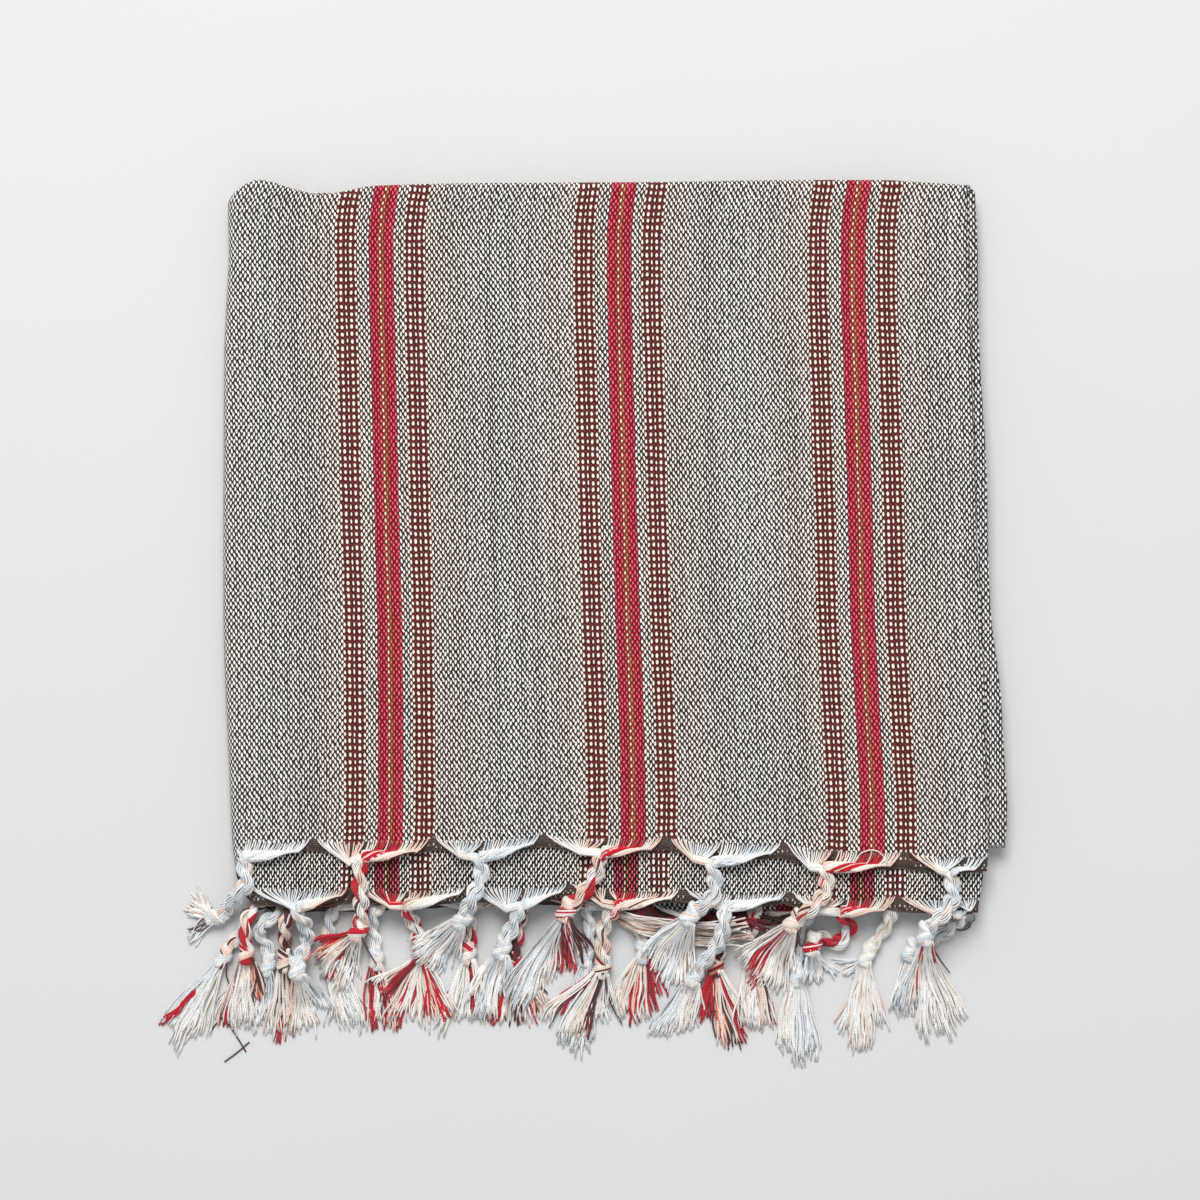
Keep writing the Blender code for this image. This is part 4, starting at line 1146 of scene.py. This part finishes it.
def gathers(row, hem, us, lines, yarns):
    """The warp below the last weft. From the left it runs together in a fan and then into the cord; from the
    right it comes down slanting on a thick strand that runs along the edge, and goes round it to the cord."""
    order = np.argsort(us)
    slant = np.linspace(0, 1, GATHERED_POINTS - LEAD_POINTS)
    fan = np.linspace(0, 1, GATHERED_POINTS - FAN_POINTS)
    for tassel, line, focus in zip(TASSELS[row], lines, FOCUS[row]):
        root, split = line[0, :2], line[0, 0] + focus.split
        meeting = root + (focus.x, focus.y)
        for from_right, bound in enumerate((tassel.left, tassel.right)):
            low, high = sorted((bound, split))
            low, high = max(low + 0.7, hem[0, 0] + 0.8), min(high - 0.7, hem[-1, 0] - 0.8)
            if high <= low:
                continue
            ends = sorted(np.interp((low, high), hem[:, 0], us))
            first, final = ((end - STRIPE_U) / WARP for end in ends)
            ks = np.arange(math.ceil(first), math.floor(final) + 1)
            xs = np.interp(STRIPE_U + ks * WARP, us[order], hem[order, 0])
            if from_right:
                w = np.linspace(1, 0, STRAND_FROM_RIGHT)
                tip, near = np.array((bound, edge_at(hem, bound)[0] + focus.end)), root + (1.0, 0.4)
                slim = 0.6 if bound < hem[-1, 0] - 4.0 else 2.3  # the last one is thick up to the selvedge
                thick = slim + (3.9 - slim) * (1 - w) ** 0.5
            else:
                w = np.linspace(1, 0, STRAND_FROM_LEFT)
                tip, near, thick = meeting, root + (-0.6, 0.0), 2.3 + 0.7 * (1 - w)
            places = near + (tip - near) * np.column_stack((w, w ** 1.3))
            bundle = strand(row, places, thick, edge_at(hem, places[:, 0])[1] + THICK / 2, line)
            tops = places[:, 1] + 0.8 * thick
            made, tints = [], []
            for k, x in zip(ks, xs):
                edge, z = edge_at(hem, x)
                z += THICK / 2
                odd = k % 2  # every other yarn lies half below its neighbour
                above = edge + bare_height(row, x) + (1.3, 0.2)[odd] + rng.normal(0, 0.4)
                begin = np.array((x, above, z - 0.3))
                beside = x - 0.55 * WARP * odd
                if from_right:
                    s = abs(x - root[0]) / max(8.0, abs(bound - root[0]))
                    drop = max(above - np.interp(x, places[::-1, 0], tops[::-1]), 0.6)
                    meet = max(beside - (0.12 + 0.6 * s) * drop, root[0] + 1.4) + rng.normal(0, 0.25)
                    left = np.interp(meet, places[::-1, 0], bundle.left[len(w) - 1::-1]) * (1 - slant)
                    passed = left[0] - left
                    angle = 1.25 - 2.5 * eased(passed / 26.0) + rng.normal(0, 0.12)
                    run = on_strand(bundle, left, angle, 0.92 - 0.3 * passed / bundle.left[0])
                    lead = slanting(begin, run)
                elif x > meeting[0] + 1.0:
                    meet = meeting[0] + 0.5 * (beside - meeting[0])
                    left = np.interp(meet, places[:, 0], bundle.left[:len(w)]) * (1 - slant)
                    run = on_strand(bundle, left, 0.9 - 0.6 * slant, 0.75 - 0.3 * slant)
                    lead = slanting(begin, run)
                else:
                    rank = (x - bound) / max(meeting[0] - bound, 3.0)
                    angle = -1.35 + 2.5 * rank + 0.5 * fan + rng.normal(0, 0.1)
                    run = on_strand(bundle, bundle.left[0] * (1 - fan), angle, 0.9 - 0.25 * fan)
                    lead = fanned(begin, run, odd, z + 0.2)
                points = np.concatenate((lead, run))
                points[:, 2] = np.clip(points[:, 2], 0.6, room(row, points[:, 1]))
                made.append(points)
                kind = warp_kind(k)
                if kind == "white" and tassel.plies[from_right] in "be":
                    kind = "blue" if rng.uniform() < 0.5 else "white"
                tints.append(kind)
            if made:
                thin = LEAD_POINTS if from_right else FAN_POINTS
                yarns.add(made, np.repeat((0.47, 0.74), (thin, GATHERED_POINTS - thin)), tints)
            lay_down(bundle.line[:-3], bundle.thick[:-3] + 0.5, 0.8)
    # The last picks of the weft
    xs = np.arange(hem[0, 0] + 0.5, hem[-1, 0] - 0.5, 3.0)
    ys, zs = edge_at(hem, xs)
    for shift in (0.3, -0.6):
        waving = ys + shift + 0.3 * np.sin(xs / 5 + shift * 3) + rng.normal(0, 0.12, len(xs))
        yarns.add([np.column_stack((xs, waving, zs + 0.1 * np.sin(xs / 3) + 0.15))], 0.55, ["weft"])


def loose_bundle(bundle, yarns):
    """Yarns side by side along a path, spread to its widths, each with its own ends."""
    path = through(bundle.path, 60)
    ahead = unit(np.gradient(path, axis=0))
    side = np.column_stack((-ahead[:, 1], ahead[:, 0]))
    at = np.linspace(0, 1, len(path))
    narrow, broad = bundle.widths
    lines = []
    for k in range(bundle.number):
        lane = 2 * (k + 0.5) / bundle.number - 1
        t = np.linspace(rng.uniform(0, 0.06), rng.uniform(0.72, 1.0), 22)
        width = narrow + (broad - narrow) * t
        sway = rng.uniform(0.3, 1.1) * np.sin(6.28 * t * rng.uniform(1, 3) + rng.uniform(0, 6))
        sway = sway + rng.normal(0, 2.4) * eased((t - 0.6) * 2.5)
        out = (lane + rng.normal(0, 0.16)) * width + sway
        flat = sampled(t, at, path) + sampled(t, at, side) * out[:, None]
        z = resting(flat, LOOSE_YARN, ON_FLOOR)
        z[1:-1] = (z[:-2] + z[1:-1] + z[2:]) / 3
        lines.append(np.column_stack((flat, z + rng.uniform(0, 1) * narrow)))
    yarns.add(lines, 0.55, picked(bundle.mix, bundle.number))
    for line in lines[::2]:
        lay_down(line[::2], 1.1, 0.4, 2.5)


def fringe(row, part, hem, us, turn=0.0):
    """One row: cords, knots and loose yarns first, then its own stretch of cloth and the gathers on that."""
    cords, gather, loose = Yarns(), Yarns(), Yarns()
    lines = []
    before = heights.copy()
    for number, tassel in enumerate(TASSELS[row]):
        line = cord(row, tassel, edge_at(hem, tassel.path[0][0])[1], cords)
        lines.append(line)
        end = line[-1, :2]
        to_tips, to_end = np.mean([lock[:2] for lock in tassel.locks], 0) - end, end - line[-8, :2]
        way = 0.7 * to_tips / np.linalg.norm(to_tips) + 0.3 * to_end / np.linalg.norm(to_end)
        way /= np.linalg.norm(way)
        centre = knot(row, number, tassel, line[-1], way, cords)
        loose_yarns(row, tassel, centre, way, loose)
        laid = [*line[::4], centre]
        lay_down(laid, [CORD_R[row]] * (len(laid) - 1) + [KNOT_R[row]], SQUASH)
    for bundle in BUNDLES:
        if bundle.row == row:
            loose_bundle(bundle, loose)
    after = heights.copy()
    heights[:] = before
    lay_cloth(part, turn)
    gathers(row, hem, us, lines, gather)
    for owner, colour, points in STRAYS:
        if owner == row:
            flat = through(points, 10)
            z = np.maximum(resting(flat, LOOSE_YARN) + 0.2, 0.55)
            loose.add([np.column_stack((flat, z))], 0.45, [colour])
    heights[:] = np.maximum(heights, after)
    for yarns, what in ((cords, "cords"), (gather, "gather"), (loose, "tassels")):
        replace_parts(yarns.piece(f"{row}_{what}", f"{row}_yarn"), row)


# ---------------------------------------------------------------- the towel

grid, u, v, hem_dist, half, layer, length = layout()
upper, lower = np.where(half == UPPER_HALF)[0], np.where(half == LOWER_HALF)[0]
halfway = (upper[-1] + lower[0]) // 2  # the station in the middle of the left fold
cloth = cloth_piece(grid, weave())
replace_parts(cloth, "cloth")
coords = np.stack((u, v, hem_dist - bare_above(grid, half)), 2)
attribute(cloth.data, "weave", "FLOAT_VECTOR", "vector", (coords, coords))
# The far end's layer: its weave is looser, and the weave material paints shade into its gaps
looser_and_shaded = np.broadcast_to(layer == 3, u.shape)
attribute(cloth.data, "far_end", "FLOAT", "value", (looser_and_shaded, looser_and_shaded))
bake_places(cloth.data, grid)


def hem_line(indices, column):
    """The cloth's edge along one hem from left to right, and the warp coordinates along it."""
    line = grid[indices, column]
    order = np.argsort(line[:, 0])
    return line[order], u[indices, column][order]


fringe("fringe_a_lower", grid[lower, :12], *hem_line(lower, 0))
fringe("fringe_b_lower", grid[lower, -13:], *hem_line(lower, -1))
fringe("fringe_b_upper", grid[upper, -13:], *hem_line(range(halfway), -1), FAR_END)
fringe("fringe_a_upper", grid[upper, :12], *hem_line(range(halfway), 0))

wide = float(u.max() - u.min()) * MM
round(length * MM, 3)

# ---------------------------------------------------------------- floor, light and camera

corners = [(-6, -6, 0), (6, -6, 0), (6, 6, 0), (-6, 6, 0)]
floor = placed(new_mesh("floor", corners, [(0, 1, 2, 3)], pale_floor()), (0, 0, -0.0002))

world = bpy.data.worlds.new("studio")
world.use_nodes = True
background = world.node_tree.nodes["Background"]
background.inputs["Color"].default_value = (0.98, 0.985, 1.0, 1.0)
background.inputs["Strength"].default_value = 0.55
bpy.context.scene.world = world

window_data = bpy.data.lights.new("window", "AREA")
window_data.shape = "DISK"
window_data.size = 2.3
window_data.energy = 149
window_data.color = (1.0, 0.992, 0.98)
window = placed(window_data, (-0.3, 2.35, 3.3))
window.rotation_mode = "QUATERNION"
window.rotation_quaternion = (-window.location).to_track_quat("-Z", "Y")

camera_data = bpy.data.cameras.new("camera")
camera_data.sensor_width = 36
camera_data.lens = 18 * 2.38 / 0.36  # half the view is 0.36 m wide 2.38 m away
bpy.context.scene.camera = placed(camera_data, (0.0089, 0.0135, 2.40))
bpy.context.scene.view_settings.view_transform = "Standard"
